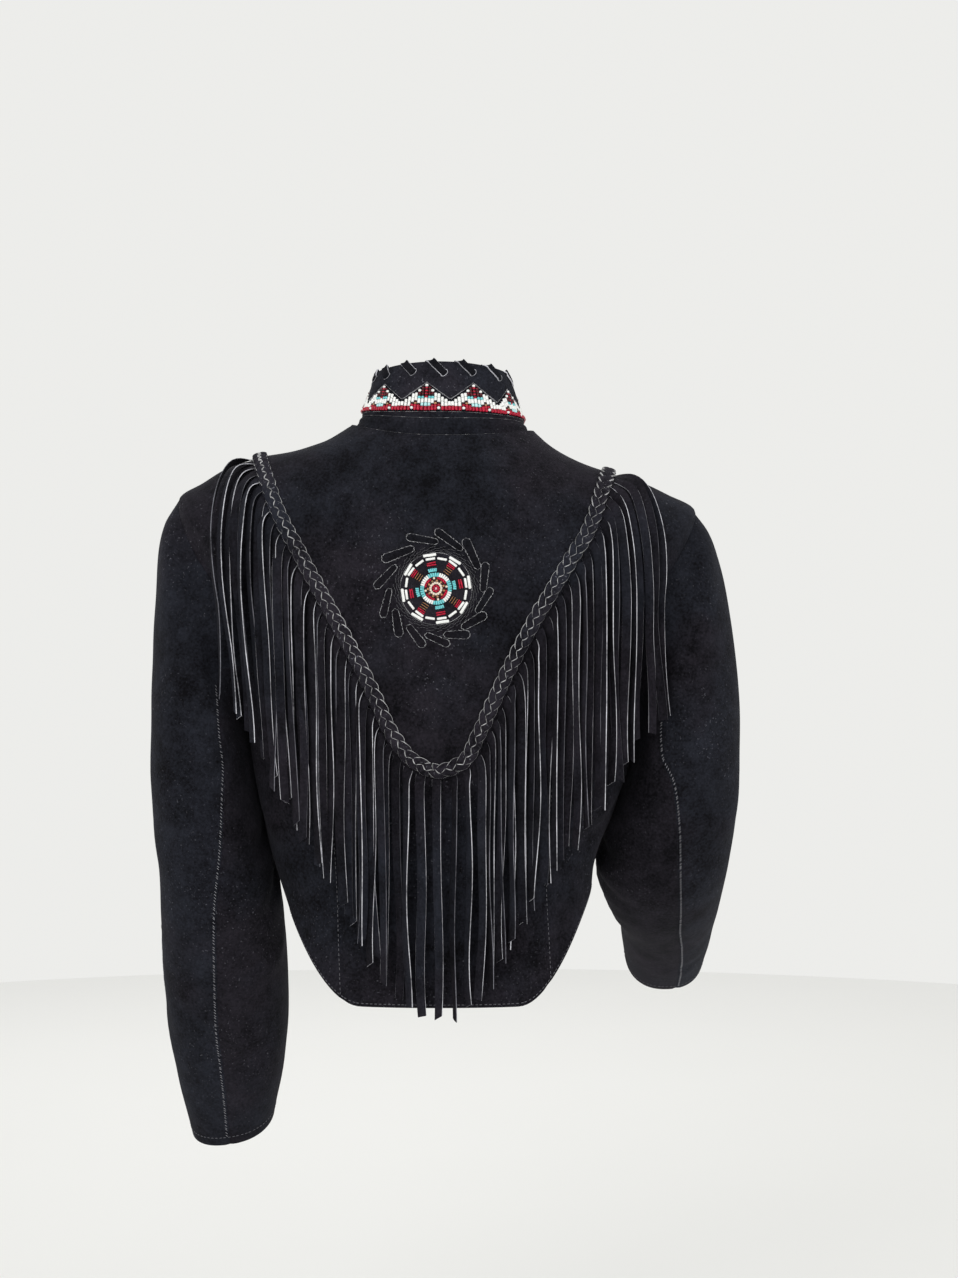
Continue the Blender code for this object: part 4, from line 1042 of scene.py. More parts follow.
class Strips:
    # flat strips gathered into one mesh, with 0 for a strip's two faces and 1 for its cut edges
    def __init__(self):
        self.points, self.faces, self.kinds = [], [], []

    def add(self, rings, paint=lambda kind: kind):
        count, size = rings.shape[:2]
        side = [int(j in (size // 2 - 1, size - 1)) for j in range(size)]
        self.kinds += [paint(kind) for kind in side * (count - 1) + [1, 1]]
        self.faces += tubeFaces(len(self.points), count, size)
        self.points += list(rings.reshape(-1, 3))

    def made(self, name, paints, slot, stands):
        newPiece(name, self.points, self.faces, paints, self.kinds, stands)


def braidPiece(label, start, end):
    length = (end - start) * outlineRun[-1]
    periods = length / braidLook["period"]
    count = int(periods * braidLook["stepsAPeriod"])
    share = np.linspace(start, end, count)
    strips = Strips()
    for strand in range(3):
        phase = 2 * math.pi * ((share - start) / (end - start) * periods + strand / 3)
        uneven = 1 + 0.10 * np.sin(5.1 * phase / 3 + strand) * np.sin(1.7 * phase)
        across = braidLook["sway"] * np.sin(phase) * uneven
        lift = braidLook["lift"] + braidLook["cross"] * np.sin(2 * phase)
        middle, normal, _, off = yokeCurve(share, across, lift)
        # each thong rolls a little as it turns back at the braid's edge
        lean = braidLook["tuck"] * np.sin(phase)[:, None] * off
        narrow = braidLook["thongWidth"] * (1 - 0.16 * np.abs(np.sin(phase)))
        strips.add(ribbon(middle, unit(normal + 0.45 * lean), narrow, braidLook["thongThick"],
                          0.0004, bevel=braidLook["bevel"]))
    strips.made(camel("braid_" + label), ["braidSuede", "braidEdge"], "suede_braid",
                ["braid_" + label])


braidPiece("left", braidLook["end"], 0.5 - braidLook["meeting"])
braidPiece("right", 0.5 + braidLook["meeting"], 1 - braidLook["end"])
print("braid plaited")


# the fringe, cut from one band a side
fringeLook = {
    "strips": 32,
    "width": 0.0080,
    "thick": 0.0007,
    "length": 0.250,
    "lengthMiddle": 0.205,
    "spread": 0.006,
    "start": 0.022,
    "backingFrom": 0.0020,
    "backingTo": 0.0080,
    "touching": 0.0017,
    "clear": 0.0062,
    "clearMore": 0.0022,
    "clearReach": 0.02,
    "bend": 0.0036,
    "bendMore": 0.35,
    "bendShoulder": 0.008,
    "shoulderShare": 0.20,
    "fan": 0.75,
    "fanReach": 0.032,
    "leanShare": 0.45,
    "leanMore": 0.012,
    "sway": 0.0030,
    "turn": math.radians(8),
    "turnMore": math.radians(60),
    "bevel": 0.00014,
    "cup": 0.0002,
    "cupMore": 0.0003,
    "slant": 0.0025,
    "combedBack": 1.0,
    "cling": 0.35,
    "leanLeft": (-0.052, -0.010),
    "leanRight": (-0.055, 0.0),
    "hangSteps": 80,
    "rings": 30,
    "ringsCrowd": 1.7,
}


def clothTree():
    points, faces = [], []
    for grid in clothGrids:
        _, quads = gridFaces(*grid.shape[:2])
        flat = grid.reshape(-1, 3)
        away = flat[quads].mean(axis=1) - flat.mean(axis=0)
        if (facing(flat, quads) * away).sum() < 0:
            quads = quads[:, ::-1]
        faces += (quads + len(points)).tolist()
        points += [Vector(p) for p in flat]
    return BVHTree.FromPolygons(points, faces)


def hang(tree, start, direction, length, lean, clear, bend, fan):
    # the line of a strip that leaves in this direction, lies on the cloth and hangs from it
    stride = length / fringeLook["hangSteps"]
    place, heading = Vector(start), Vector(direction).normalized()
    normal = tree.find_nearest(place)[1]
    line = [place.copy()]
    for k in range(fringeLook["hangSteps"]):
        back = fringeLook["combedBack"] * max(0, normal.z)
        spread = fan * math.exp(-k * stride / fringeLook["fanReach"])
        down = Vector((lean + spread, back, -1)).normalized()
        away = fringeLook["cling"] * max(0, heading.dot(normal))
        heading += down * (stride / bend) - normal * away
        heading.normalize()
        after = place + heading * stride
        share = min(1, k * stride / fringeLook["clearReach"])
        least = fringeLook["touching"] + (clear - fringeLook["touching"]) * share
        near, normal, _, distance = tree.find_nearest(after)
        if (after - near).dot(normal) < 0:
            distance = -distance
        if distance < least:
            after += normal * (least - distance)
        heading = (after - place).normalized()
        place = after
        line.append(place.copy())
    return np.array([tuple(point) for point in line])


def smoothed(values, passes):
    for _ in range(passes):
        values = np.concatenate([values[:1], (values[:-2] + 2 * values[1:-1] + values[2:]) / 4,
                                 values[-1:]])
    return values


def fringeBacking(start, end):
    # the band that the strips are cut from, under the braid's lower edge
    share = np.linspace(start, end, 150)
    low, high = cut["layGap"], cut["layGap"] + fringeLook["thick"]
    ring = [yokeCurve(share, fringeLook[across], lift)[0] for across, lift in (
        ("backingFrom", low), ("backingTo", low), ("backingTo", high), ("backingFrom", high))]
    return np.stack(ring, axis=1)


def stripLine(tree, root, off, i, inward, side, lean):
    # the middle line of a strip: i is its number and inward how near it is to the centre back
    near = max(0.0, 1 - inward / fringeLook["shoulderShare"])
    length = fringeLook["length"] + (fringeLook["lengthMiddle"] - fringeLook["length"]) * inward
    length += fringeLook["spread"] * math.sin(2.4 * i) * math.sin(0.7 * i + 1)
    more = math.sin(1.9 * i + (0.6 if side > 0 else 2.0))
    clear = fringeLook["clear"] + fringeLook["clearMore"] * more
    bend = fringeLook["bend"] * (1 + fringeLook["bendMore"] * math.sin(2.7 * i + side))
    bend += (fringeLook["bendShoulder"] - bend) * near
    slope = lean[1] + (lean[0] - lean[1]) * max(0.0, 1 - inward / fringeLook["leanShare"])
    slope += fringeLook["leanMore"] * math.sin(3.1 * i + 2 * side)
    fan = side * fringeLook["fan"] * near
    line = smoothed(hang(tree, root, off, length, slope, clear, bend, fan), 2)
    share = np.linspace(0, 1, fringeLook["rings"]) ** fringeLook["ringsCrowd"]
    run = np.linspace(0, 1, len(line))
    middle = np.stack([np.interp(share, run, line[:, axis]) for axis in range(3)], axis=1)
    # a slow sway, which grows towards the free end
    sway = fringeLook["sway"] * share**1.2 * math.sin(3.7 * i + 0.4)
    middle[:, 0] += sway * np.sin(6.5 * share + 1.3 * i)
    return share, middle


def carried(width, heading):
    # the direction across a strip, carried down its length without a twist
    directions = []
    for ahead in heading:
        width = unit(width - np.dot(width, ahead) * ahead)
        directions.append(width)
    return np.array(directions)


def stripSwing(share, i, side):
    # how far it turns edge on, different for each strip
    much = 0.5 + 0.5 * math.sin(2.63 * i + 0.9 * side) * math.cos(0.91 * i + 0.4)
    turn = fringeLook["turn"] + fringeLook["turnMore"] * much
    swing = turn * np.minimum(1, share / 0.06) * (1 - 0.25 * share)
    swing += 0.30 * math.sin(1.7 * i + 0.5) * share
    swing += 0.16 * np.sin(7 * share + i) * np.minimum(1, share * 4)
    return side * swing[:, None]


def fringePiece(label, tree, start, end, side, lean):
    count = fringeLook["strips"]
    pitch = (end - start) / count
    strips = Strips()
    strips.add(fringeBacking(start + 0.3 * pitch, end - 0.3 * pitch), lambda kind: 0)
    for i in range(count):
        root, normal, along, off = yokeCurve(
            np.array([start + pitch * (i + 0.5)]), np.array([fringeLook["backingTo"] - 0.0006]),
            np.array([0.0011]))
        inward = (i if side > 0 else count - 1 - i) / count
        share, middle = stripLine(tree, root[0], off[0], i, inward, side, lean)
        heading = unit(np.gradient(middle, axis=0))
        across = carried(along[0] * side, heading)
        face = np.cross(heading, across)
        if np.dot(face[0], normal[0]) < 0:
            face = -face
        swing = stripSwing(share, i, side)
        up = face * np.cos(swing) - across * np.sin(swing)
        narrow = fringeLook["width"] * (1 + 0.10 * math.sin(5.1 * i) - 0.10 * share)
        cup = fringeLook["cupMore"] * math.sin(2.2 * i) + fringeLook["cup"]
        rings = ribbon(middle, up, narrow, fringeLook["thick"], cup, bevel=fringeLook["bevel"])
        # the free end is cut at a slant
        slant = fringeLook["slant"] * math.sin(2.9 * i + 1)
        offset = (rings[-1] - middle[-1]) @ unit(np.cross(heading[-1], up[-1])) / (narrow[-1] / 2)
        rings[-1] += (slant * offset)[:, None] * heading[-1]
        # some strips are painted darker and some of their edges fainter, as painted shade on
        # strips turned away from the light
        shadeSlot = 2 if math.sin(2.2 * i + side) > 0.1 else 0
        edgeShadeSlot = 2 if math.sin(3.9 * i + 2 * side) > 0.45 else 0
        strips.add(rings, lambda kind: kind + (edgeShadeSlot if kind else shadeSlot))
    strips.made(camel("fringe_" + label), ["fringeSuede", "cutEdge", "fringeDark", "edgeShade"],
                "suede_fringe", ["fringe_" + label])


tree = clothTree()
fringePiece("left", tree, fringeLook["start"], 0.5, 1, fringeLook["leanLeft"])
fringePiece("right", tree, 0.5, 1 - fringeLook["start"], -1, fringeLook["leanRight"])
print("fringe hung")


# the standing collar, its layer of points and its bead band
collarLook = {
    "columns": 207,
    "seamGap": 0.0004,
    "pointsRound": 10,
    "pointsThick": 0.0012,
    "lineLow": 0.0094,
    "lineHigh": 0.0252,
    "turnedBack": 0.127,
    "edgeThread": 0.00040,
    "lineGap": 0.03,
    "fold": 0.0013,
}


def collarAngles(columns):
    gap = cut["frontGap"] / 2 / abs(collarRings[0].yFront)
    return np.linspace(-math.pi / 2 + gap, 1.5 * math.pi - gap, columns + 1)


def onCollar(angle, v, lift=0.0):
    angle, v = np.broadcast_arrays(np.asarray(angle, float), np.asarray(v, float))
    base, normal = surface(partial(ringPoint, collarRings), angle, v, -1)
    upper = np.exp(-(((v - 0.72) / 0.10) ** 2)) * (0.6 + 0.4 * np.sin(2.3 * angle + 0.4))
    lower = np.exp(-(((v - 0.30 - 0.05 * np.sin(1.7 * angle)) / 0.12) ** 2))
    shift = -collarLook["fold"] * (upper + 0.7 * lower * (0.5 + 0.5 * np.sin(3.1 * angle)))
    soft = 0.0003 * np.sin(5 * angle + 0.7) * np.sin(1.9 * v + 0.3)
    return base + (lift + shift + soft)[..., None] * normal, normal


def ringAtHeight(height):
    # the ring number this high above the collar's foot, measured at the centre back
    fine = np.linspace(0, 4, 500)
    return np.interp(height, ringRow(collarRings, fine).zBack - collarRings[1].zBack, fine)


def turned(angle, much):
    # the share of the way round from the front edge, with the back turned by this angle
    run = angle + math.pi / 2
    return (run - much * (1 - np.cos(run)) / 2) / (2 * math.pi)


def zigzag(angle):
    phase = turned(angle, collarLook["turnedBack"]) * collarLook["pointsRound"]
    fall = np.abs(2 * (phase - np.floor(phase)) - 1)
    low, high = collarLook["lineLow"], collarLook["lineHigh"]
    return ringAtHeight(high + (low - high) * fall)


def collarShell(name, stands, low, high, rows, lift=-cut["suede"], thick=cut["suede"],
                paints=("blackSuede", "insideSuede", "dullEdge")):
    angle = collarAngles(collarLook["columns"])
    v = between(low(angle), high(angle), rows).T
    outer, normal = onCollar(np.broadcast_to(angle, v.shape), v, lift + thick)
    piece = shell(name, outer, outer - thick * normal, [stands], paints)


def collar():
    top = len(collarRings) - 1
    small = collarLook["seamGap"] / 2 / (collarRings[1].zBack - collarRings[0].zBack)

    def level(v):
        return lambda angle: np.full(angle.shape, v)

    collarShell("neckband", "neckband", level(0), level(1 - small), 14)
    collarShell("standCollar", "collar", level(1 + small), level(top), 20)
    collarShell("collarPoints", "collar_points",
                lambda angle: zigzag(angle) + collarLook["lineGap"], level(top), 16,
                cut["layGap"], collarLook["pointsThick"],
                ("pointsSuede", "insideSuede", "cutEdge"))


collar()


# the beads of the collar's band, in upright columns counted from the middle of each point
beadLook = {
    "columnsAPoint": 15,
    "fill": 0.455,
    "dot": 0.00150,
    "lift": 0.0016,
}
# for each column: its beads' low and high ends in mm above the band's foot, and their colour
beadColumns = (
    ((0, 3.4, "red"), (3.5, 6.7, "sky"), (6.8, 11.2, "white"), (11.3, 21.3, "stack")),
    ((0, 3.6, "red"), (3.7, 6.3, "sky"), (6.4, 10.4, "white"), (10.5, 12.6, "turquoise"),
     (12.7, 21.2, "pile")),
    ((0, 4.8, "red"), (4.9, 5.9, "brown"), (6.0, 10.4, "white"), (10.5, 12.6, "turquoise"),
     (12.7, 16.1, "pile"), (17.9, 0, "dot")),
    ((0, 5.2, "red"), (5.3, 6.8, "gold"), (6.9, 8.4, "brown"), (8.5, 12.2, "white"),
     (12.3, 15.8, "white")),
    ((2.0, 0, "dot"), (3.6, 5.3, "red"), (5.4, 6.8, "brown"), (6.9, 11.0, "white"),
     (11.1, 15.0, "white")),
    ((0, 3.4, "red"), (3.5, 7.7, "white"), (7.8, 11.9, "white")),
    ((0, 3.4, "red"), (3.5, 6.7, "white"), (6.8, 9.8, "white")),
    ((0, 3.8, "red"), (3.9, 7.8, "white")),
)


def beadCells(far):
    cells = []
    for low, high, colour in beadColumns[far]:
        if colour in ("stack", "pile"):
            pair = ("red", "brown") if colour == "stack" else ("brown", "maroon")
            count = round((high - low) / 1.5)
            step = (high - low) / count
            cells += [(low + k * step, low + (k + 1) * step, pair[k % 2]) for k in range(count)]
        elif colour == "dot":
            cells.append((low - 1.2, low + 1.2, "dot"))
        else:
            cells.append((low, high, colour))
    if far == 0:
        cells.append((21.6, 24.0, "dot"))
    return cells


def beadBand():
    paints = ["whiteBead", "turquoiseBead", "skyBead", "redBead", "brownBead", "goldBead",
              "maroonBead"]
    number = {"white": 0, "dot": 0, "turquoise": 1, "sky": 2, "red": 3, "brown": 4, "gold": 5,
              "maroon": 6}
    many = beadLook["columnsAPoint"]
    count = many * collarLook["pointsRound"]
    fine = collarAngles(2000)
    phase = turned(fine, collarLook["turnedBack"]) * count
    rows = []
    for k in range(count):
        wobble = 0.10 * math.sin(12.9 * k)
        for low, high, colour in beadCells(abs(k % many - many // 2)):
            rows.append((k, low + 0.05 + wobble, high - 0.05 + wobble, colour))
    column = np.array([row[0] for row in rows])
    angle = np.interp(column + 0.5 + 0.06 * np.sin(5.1 * column), phase, fine)
    low, high = (np.array([row[part] for row in rows]) / 1000 for part in (1, 2))
    dots = np.array([row[3] == "dot" for row in rows])
    lift = beadLook["lift"] + 0.00010 * np.sin(7.1 * np.arange(len(rows))) + 0.0003 * dots
    v = ringAtHeight((low + high) / 2)
    foot, _ = onCollar(angle, ringAtHeight(np.maximum(low, 0.0)), lift)
    head, _ = onCollar(angle, ringAtHeight(high), lift)
    middle, normal = onCollar(angle, v, lift)
    beside, _ = onCollar(angle + 2 * math.pi / count, v, lift)
    radius = beadLook["fill"] * np.linalg.norm(beside - middle, axis=1)
    radius = np.where(dots, beadLook["dot"], radius * (1 + 0.05 * np.sin(3.3 * column)))
    along = (head - foot) / 2
    across = unit(np.cross(normal, along))
    kinds = [number[row[3]] for row in rows]
    for name, shape, want in (("beadBand", bugleShape, ~dots), ("beadDots", seedShape, dots)):
        items = [(middle[k], along[k], radius[k] * across[k], radius[k] * 0.85 * normal[k],
                  kinds[k]) for k in np.flatnonzero(want)]
        scatter(name, shape, items, paints, ["bead_band"])


def collarLines():
    # the pale edge of the points and the thread under the beads' foot
    fine = collarAngles(600)
    thin = collarLook["edgeThread"] / 2
    stitches = []
    for v, lift, bright in (
            (zigzag(fine) + collarLook["lineGap"] * 1.5,
             cut["layGap"] + collarLook["pointsThick"] + 0.0001, 0.35),
            (ringAtHeight(np.full(fine.shape, -0.0010)), 0.0003, 0.45),
            (ringAtHeight(-0.0056 + 0.0008 * np.sin(3 * fine)), 0.0001, 0.75),
            (np.full(fine.shape, 0.085), 0.0001, 0.80)):
        place, normal = onCollar(fine, v, lift)
        wave = 0.5 + 0.5 * np.sin(41 * fine + 9 * bright) * np.sin(17.3 * fine + 1)
        size = thin * (0.45 + 0.6 * wave[:-1]) * (1.2 - 0.6 * bright)
        stitches += pinned(place[:-1], place[1:], normal[:-1], size, size,
                           np.where(wave[:-1] > bright, 0, 1), 1.1)
    scatter("collarLines", stitchShape, stitches, ["chainThread", "faintThread"])


beadBand()
collarLines()


# flat lacing whipped over the collar's top edge
laceLook = {
    "count": 15,
    "width": 0.0072,
    "thick": 0.0010,
    "depth": 0.0105,
    "slant": 0.0085,
    "fromFront": 0.113,
    "turnedBack": -0.127,
    "bevel": 0.00036,
    "steps": 44,
}


def laces():
    top = float(len(collarRings) - 1)
    high = collarRings[-1].zBack - collarRings[-2].zBack
    outside = cut["layGap"] + collarLook["pointsThick"] + 0.0003 + laceLook["thick"] / 2
    inside = -cut["suede"] - 0.0003 - laceLook["thick"] / 2
    share = np.linspace(0, 1, laceLook["count"])
    margin = laceLook["fromFront"] / (2 * math.pi)
    fine = np.linspace(-math.pi / 2, 1.5 * math.pi, 1000)
    starts = np.interp(margin + share * (1 - 2 * margin), turned(fine, laceLook["turnedBack"]),
                       fine)
    strips, lips = Strips(), []
    for number, start in enumerate(starts):
        deep = laceLook["depth"] * (1 + 0.08 * math.sin(3.7 * number + 1))
        # how far down the lace is, its lift, its rise over the edge and its place along it
        run = np.array([
            (1.05, outside - 0.0018, 0.0, 1.05), (0.93, outside - 0.0002, 0.0, 0.93),
            (0.80, outside + 0.0004, 0.0, 0.80), (0.5, outside + 0.0004, 0.0, 0.5),
            (0.2, outside + 0.0002, 0.0, 0.2), (0.0, outside, 0.0002, 0.0),
            (0.0, outside - 0.0007, 0.0007, -0.08), (0.0, (outside + inside) / 2, 0.0010, -0.18),
            (0.0, inside + 0.0007, 0.0007, -0.28), (0.0, inside, 0.0002, -0.36),
            (0.25, inside, 0.0, -0.56), (0.5, inside, 0.0, -0.76)])
        way = through(run[:, None, :], np.linspace(0, len(run) - 1, laceLook["steps"]))
        down, lift, rise, lean = way.T
        near, _ = onCollar(np.array([start]), np.array([top]))
        radius = math.hypot(near[0, 0], near[0, 1])
        slant = laceLook["slant"] * (1 + 0.12 * math.sin(2.1 * number))
        angle = start + lean * slant / radius
        place, normal = onCollar(angle, top - down * deep / high, lift)
        place = place + rise[:, None] * np.array([0, 0, 1.0])
        turn = np.clip((np.arange(len(down)) / (len(down) - 1) * (len(run) - 1) - 5) / 4, 0, 1)
        over = np.sin(turn * math.pi)[:, None]
        outward = unit(normal * np.cos(turn * math.pi)[:, None] + over * np.array([0, 0, 1.0]))
        strips.add(ribbon(place, outward, laceLook["width"] * (1 + 0.06 * math.sin(5.3 * number)),
                          laceLook["thick"], 0.0002, bevel=laceLook["bevel"]))
        lips += laceLip(place[4], place[10] - place[4], normal[4])
    strips.made("collarLaces", ["laceSuede", "cutEdge"], "suede_braid",
                [f"collar_lace_{k + 1:02d}" for k in range(laceLook["count"])])
    scatter("laceSlots", stitchShape, lips, ["cutEdge"])


def laceLip(end, upward, normal):
    # the pale lip of the slot that the lace goes into
    up = unit(upward - np.dot(upward, normal) * normal)
    side = np.cross(up, normal)
    turn = np.linspace(-0.15 * math.pi, 1.0 * math.pi, 13)[:, None]
    half = laceLook["width"] / 2 + 0.0003
    around = half * np.cos(turn) * side - (0.0004 + 0.0024 * np.sin(turn)) * up
    place = end + 0.0002 * normal + around
    facings = np.broadcast_to(normal, place[:-1].shape)
    size = np.full(len(place) - 1, 0.00020)
    return pinned(place[:-1], place[1:], facings, size, size, [0] * len(size), 1.12)


laces()
print("collar made")


# the rosette, as seen from behind: r from its middle, turns clockwise from the top
rosetteLook = {
    "x": 0.003,
    "z": -0.1465,
    "turned": math.radians(-11),
    # radius and lift of the felt's rings, from its foot to its middle
    "felt": ((0.0309, 0.0001), (0.0309, 0.0004), (0.0290, 0.0006), (0.0262, 0.0007),
             (0.0200, 0.0006), (0.0140, 0.0009), (0.0110, 0.0013), (0.0070, 0.0018),
             (0.0035, 0.0022)),
}


def onYoke(x, z, lift):
    return onBack(x, z, cut["yokeGap"] + cut["yokeSuede"] + lift)


def rosettePlace(r, turn, lift):
    turn = np.asarray(turn, float) + rosetteLook["turned"]
    return onYoke(rosetteLook["x"] - r * np.sin(turn), rosetteLook["z"] + r * np.cos(turn), lift)


def outwardFaces(points, faces, size):
    # turned over where they would face into the yoke, by a ring's first points and a lower ring's
    _, normal = rosettePlace(np.array([0.0]), 0.0, 0.0)
    ahead = np.cross(points[1] - points[0], points[size] - points[0])
    return [face[::-1] for face in faces] if np.dot(ahead, normal[0]) < 0 else faces


def rosetteBeads():
    paints = ["whiteBead", "turquoiseBead", "creamBead", "redBead", "brownBead", "goldBead",
              "pinkBead"]
    white, turquoise, cream, red, brown, gold, pink = range(7)
    # each bead: r and turn in mm and degrees, length, width and height in mm, whether it
    # lies along the radius, lift of its middle in mm, colour
    beads = [(0, 0, 2.0, 2.0, 1.3, 1, 3.0, pink)]
    beads += [(2.45, k * 45 + 10, 1.9, 1.9, 1.2, 1, 2.75, red) for k in range(8)]
    beads += [(4.7, k * 24, 2.0, 1.95, 1.2, 1, 2.5, cream) for k in range(15)]
    beads += [(6.9, k * 360 / 22, 1.85, 1.9, 1.2, 1, 2.1, gold if k % 2 else brown)
              for k in range(22)]
    for k in range(32):
        turn = k * 11.25
        away = abs((turn + 45) % 90 - 45)
        beads.append((9.2, turn, 2.0, 1.8, 1.2, 1, 1.8, red if away > 22 else
                      cream if away < 6 else brown if away < 18 else white))
    for k in range(40):
        turn = k * 9
        away = abs((turn + 45) % 90 - 45)
        paint = turquoise if away < 23 else white
        beads.append((12.1, turn, 3.6, 1.75, 1.35, 1, 1.55, paint))
    for k in range(8):
        turn = k * 45
        if k % 2 == 0:
            for j in range(5):
                beads.append((16.3, turn + (j - 2) * 5.4, 3.0, 1.5, 1.3, 1, 1.15, turquoise))
            for j in range(2):
                beads.append((20.6 + 1.8 * j, turn, 8.2, 1.45, 1.2, 0, 1.1, red))
        else:
            stack = ((23.7, red), (22.1, red), (20.2, gold), (18.1, gold), (16.0, gold))
            for r, paint in stack:
                wide = 1.2 if paint == red else 0.6
                beads.append((r, turn, 7.4 if paint == red else 6.4, wide, 1.1, 0, 1.1, paint))
    for k in range(16):
        beads.append((26.0, k * 22.5, 8.5, 2.3, 1.7, 0, 1.15, white))
    for k in range(8):
        beads.append((29.2, k * 45, 11.6, 2.6, 1.7, 0, 1.0, white))
    table = np.array(beads, float)
    number = np.arange(len(table))
    jitter = 0.14 * np.sin(5.7 * number + 0.3)
    turn = np.radians(table[:, 1] + 9 * jitter / np.maximum(table[:, 0], 6))
    r = (table[:, 0] + jitter * 0.8) / 1000
    half, radial = table[:, 2] / 2000, table[:, 5] > 0
    reach = np.where(radial, 0, np.arctan2(half, np.maximum(r, 1e-6)))
    far, tilt = np.hypot(half, r), 0.010 * np.sin(3.1 * number)
    ends = [np.where(radial, r + way * half, far * (1 + way * tilt)) for way in (-1, 1)]
    lift = table[:, 6] / 1000
    one, normal = rosettePlace(ends[0], turn - reach, lift)
    two, _ = rosettePlace(ends[1], turn + reach, lift)
    items = pinned(one, two, normal, table[:, 3] / 2000, table[:, 4] / 2000,
                   table[:, 7].astype(int), 0.98)
    scatter("rosetteBeads", bugleShape, items, paints, ["rosette"])


def rosetteFelt():
    # the black felt under the beads, domed towards its middle
    turns = np.linspace(0, 2 * math.pi, 48, endpoint=False)
    rings = [rosettePlace(r, turns, lift)[0] for r, lift in rosetteLook["felt"]]
    points = np.concatenate(rings)
    faces = outwardFaces(points, tubeFaces(0, len(rings), len(turns)), 4 * len(turns))
    piece = newPiece("rosetteFelt", points, faces, ["feltBlack"], None, ["rosette"])
    size = 2 * rosetteLook["felt"][0][0]
    cutList.append(("rosetteFelt", size, size, math.pi * size**2 / 4))


featherLook = {
    "count": 13,
    "width": 0.0070,
    "root": 0.0408,
    "tip": 0.0487,
    "swing": math.radians(23),
    "stitch": 0.0019,
    "pitch": 0.00165,
    "thread": 0.00046,
    "stitchLift": 0.00062,
    # share of the outline's size and lift of a feather's rings, from its foot to its middle
    "rings": ((1.0, 0.0001), (0.99, 0.0004), (0.90, 0.0008), (0.72, 0.0010), (0.45, 0.0011)),
}


def featherOutline(number):
    start = 2 * math.pi * number / featherLook["count"] - 0.455
    start += 0.148 * math.sin(start) - 0.065
    wild = math.sin(4.1 * number + 0.7)
    root = featherLook["root"] * np.array([-math.sin(start), math.cos(start)])
    swing = featherLook["swing"] + 0.070 * math.cos(start - 0.52) + 0.02 * wild
    tip = (featherLook["tip"] + 0.0022 * math.cos(start + 1.0)) * np.array(
        [math.sin(swing - start), math.cos(swing - start)])
    along = unit(tip - root)
    side = np.array([-along[1], along[0]])
    half = featherLook["width"] / 2 * (1 + 0.10 * math.sin(1.9 * number + 2))
    outline = []
    for middle, first in ((tip, -90), (root, 90)):
        for degrees in range(first, first + 181, 20):
            swung = math.radians(degrees)
            outline.append(middle + half * (math.cos(swung) * along + math.sin(swung) * side))
    outline = np.array(outline)
    # the leaf is a little narrower at its root and bends as it whirls
    run = (outline - root) @ along / np.linalg.norm(tip - root)
    off = (outline - root) @ side
    narrow = 0.80 + 0.24 * np.clip(run, 0, 1)
    bend = 0.0011 * np.sin(math.pi * np.clip(run, 0, 1)) * (1 + wild * 0.4)
    return root + np.outer(run * np.linalg.norm(tip - root), along) + np.outer(
        off * narrow + bend, side)


def besideRosette(flat, lift):
    return onYoke(rosetteLook["x"] + flat[:, 0], rosetteLook["z"] + flat[:, 1], lift)


def leafStitches(outline, number):
    # whipped stitches that lie along a leaf's edge
    middle = outline.mean(axis=0)
    closed = np.concatenate([outline, outline[:1]])
    run = runAlong(closed)
    many = int(run[-1] / featherLook["pitch"])
    k = np.arange(many)
    at = (k + 0.5) * run[-1] / many

    def aroundLeaf(places):
        return np.stack([np.interp(places, run, closed[:, axis]) for axis in (0, 1)], 1)

    away = unit(aroundLeaf(at) - middle)
    ends = []
    for way in (-1, 1):
        off = 0.00028 * np.sin(9.1 * k + 3.3 * number) - 0.0002 * way * np.sin(5 * k)
        end = aroundLeaf((at + way * featherLook["stitch"] / 2) % run[-1]) + off[:, None] * away
        ends.append(besideRosette(end, featherLook["stitchLift"]))
    thick = featherLook["thread"] / 2 * (1 + 0.25 * np.sin(2.7 * k + number))
    bright = np.sin(1.3 * k + 2.1 * number) + 0.8 * np.sin(0.37 * k + number) > -0.2
    return pinned(ends[0][0], ends[1][0], ends[0][1], thick, thick, np.where(bright, 0, 1))


def swirlStitches():
    # faint stitches swirl from the rosette's rim out to the feathers
    swirl = []
    for number in range(featherLook["count"]):
        for arc in range(2):
            k = np.arange(9 + arc)
            share = (k + 0.5) / len(k)
            r = 0.0318 + 0.0052 * share**1.4 + 0.0004 * np.sin(4 * k + number)
            turn = 2 * math.pi * (number + arc / 2) / featherLook["count"] - 0.2 + 0.62 * share
            swirl.append(np.stack([r, turn], axis=1))
    r, turn = np.concatenate(swirl).T
    one, normal = rosettePlace(r, turn - 0.0012 / r, 0.00014)
    two, _ = rosettePlace(r + 0.0003, turn + 0.0012 / r, 0.00014)
    return pinned(one, two, normal, np.full(len(r), 0.00013), np.full(len(r), 0.00012),
                  [1] * len(r))


def rimThread():
    # a pale thread lies round the beadwork's rim
    k = np.arange(96)
    turn = 2 * math.pi * k / len(k)
    r = np.full(len(k), 0.0311)
    one, normal = rosettePlace(r, turn, 0.0005)
    two, _ = rosettePlace(r, turn + 2 * math.pi / 100, 0.0005)
    return pinned(one, two, normal, np.full(len(k), 0.00024), np.full(len(k), 0.00022),
                  np.where(np.sin(0.31 * k + 1) > -0.2, 0, 1))


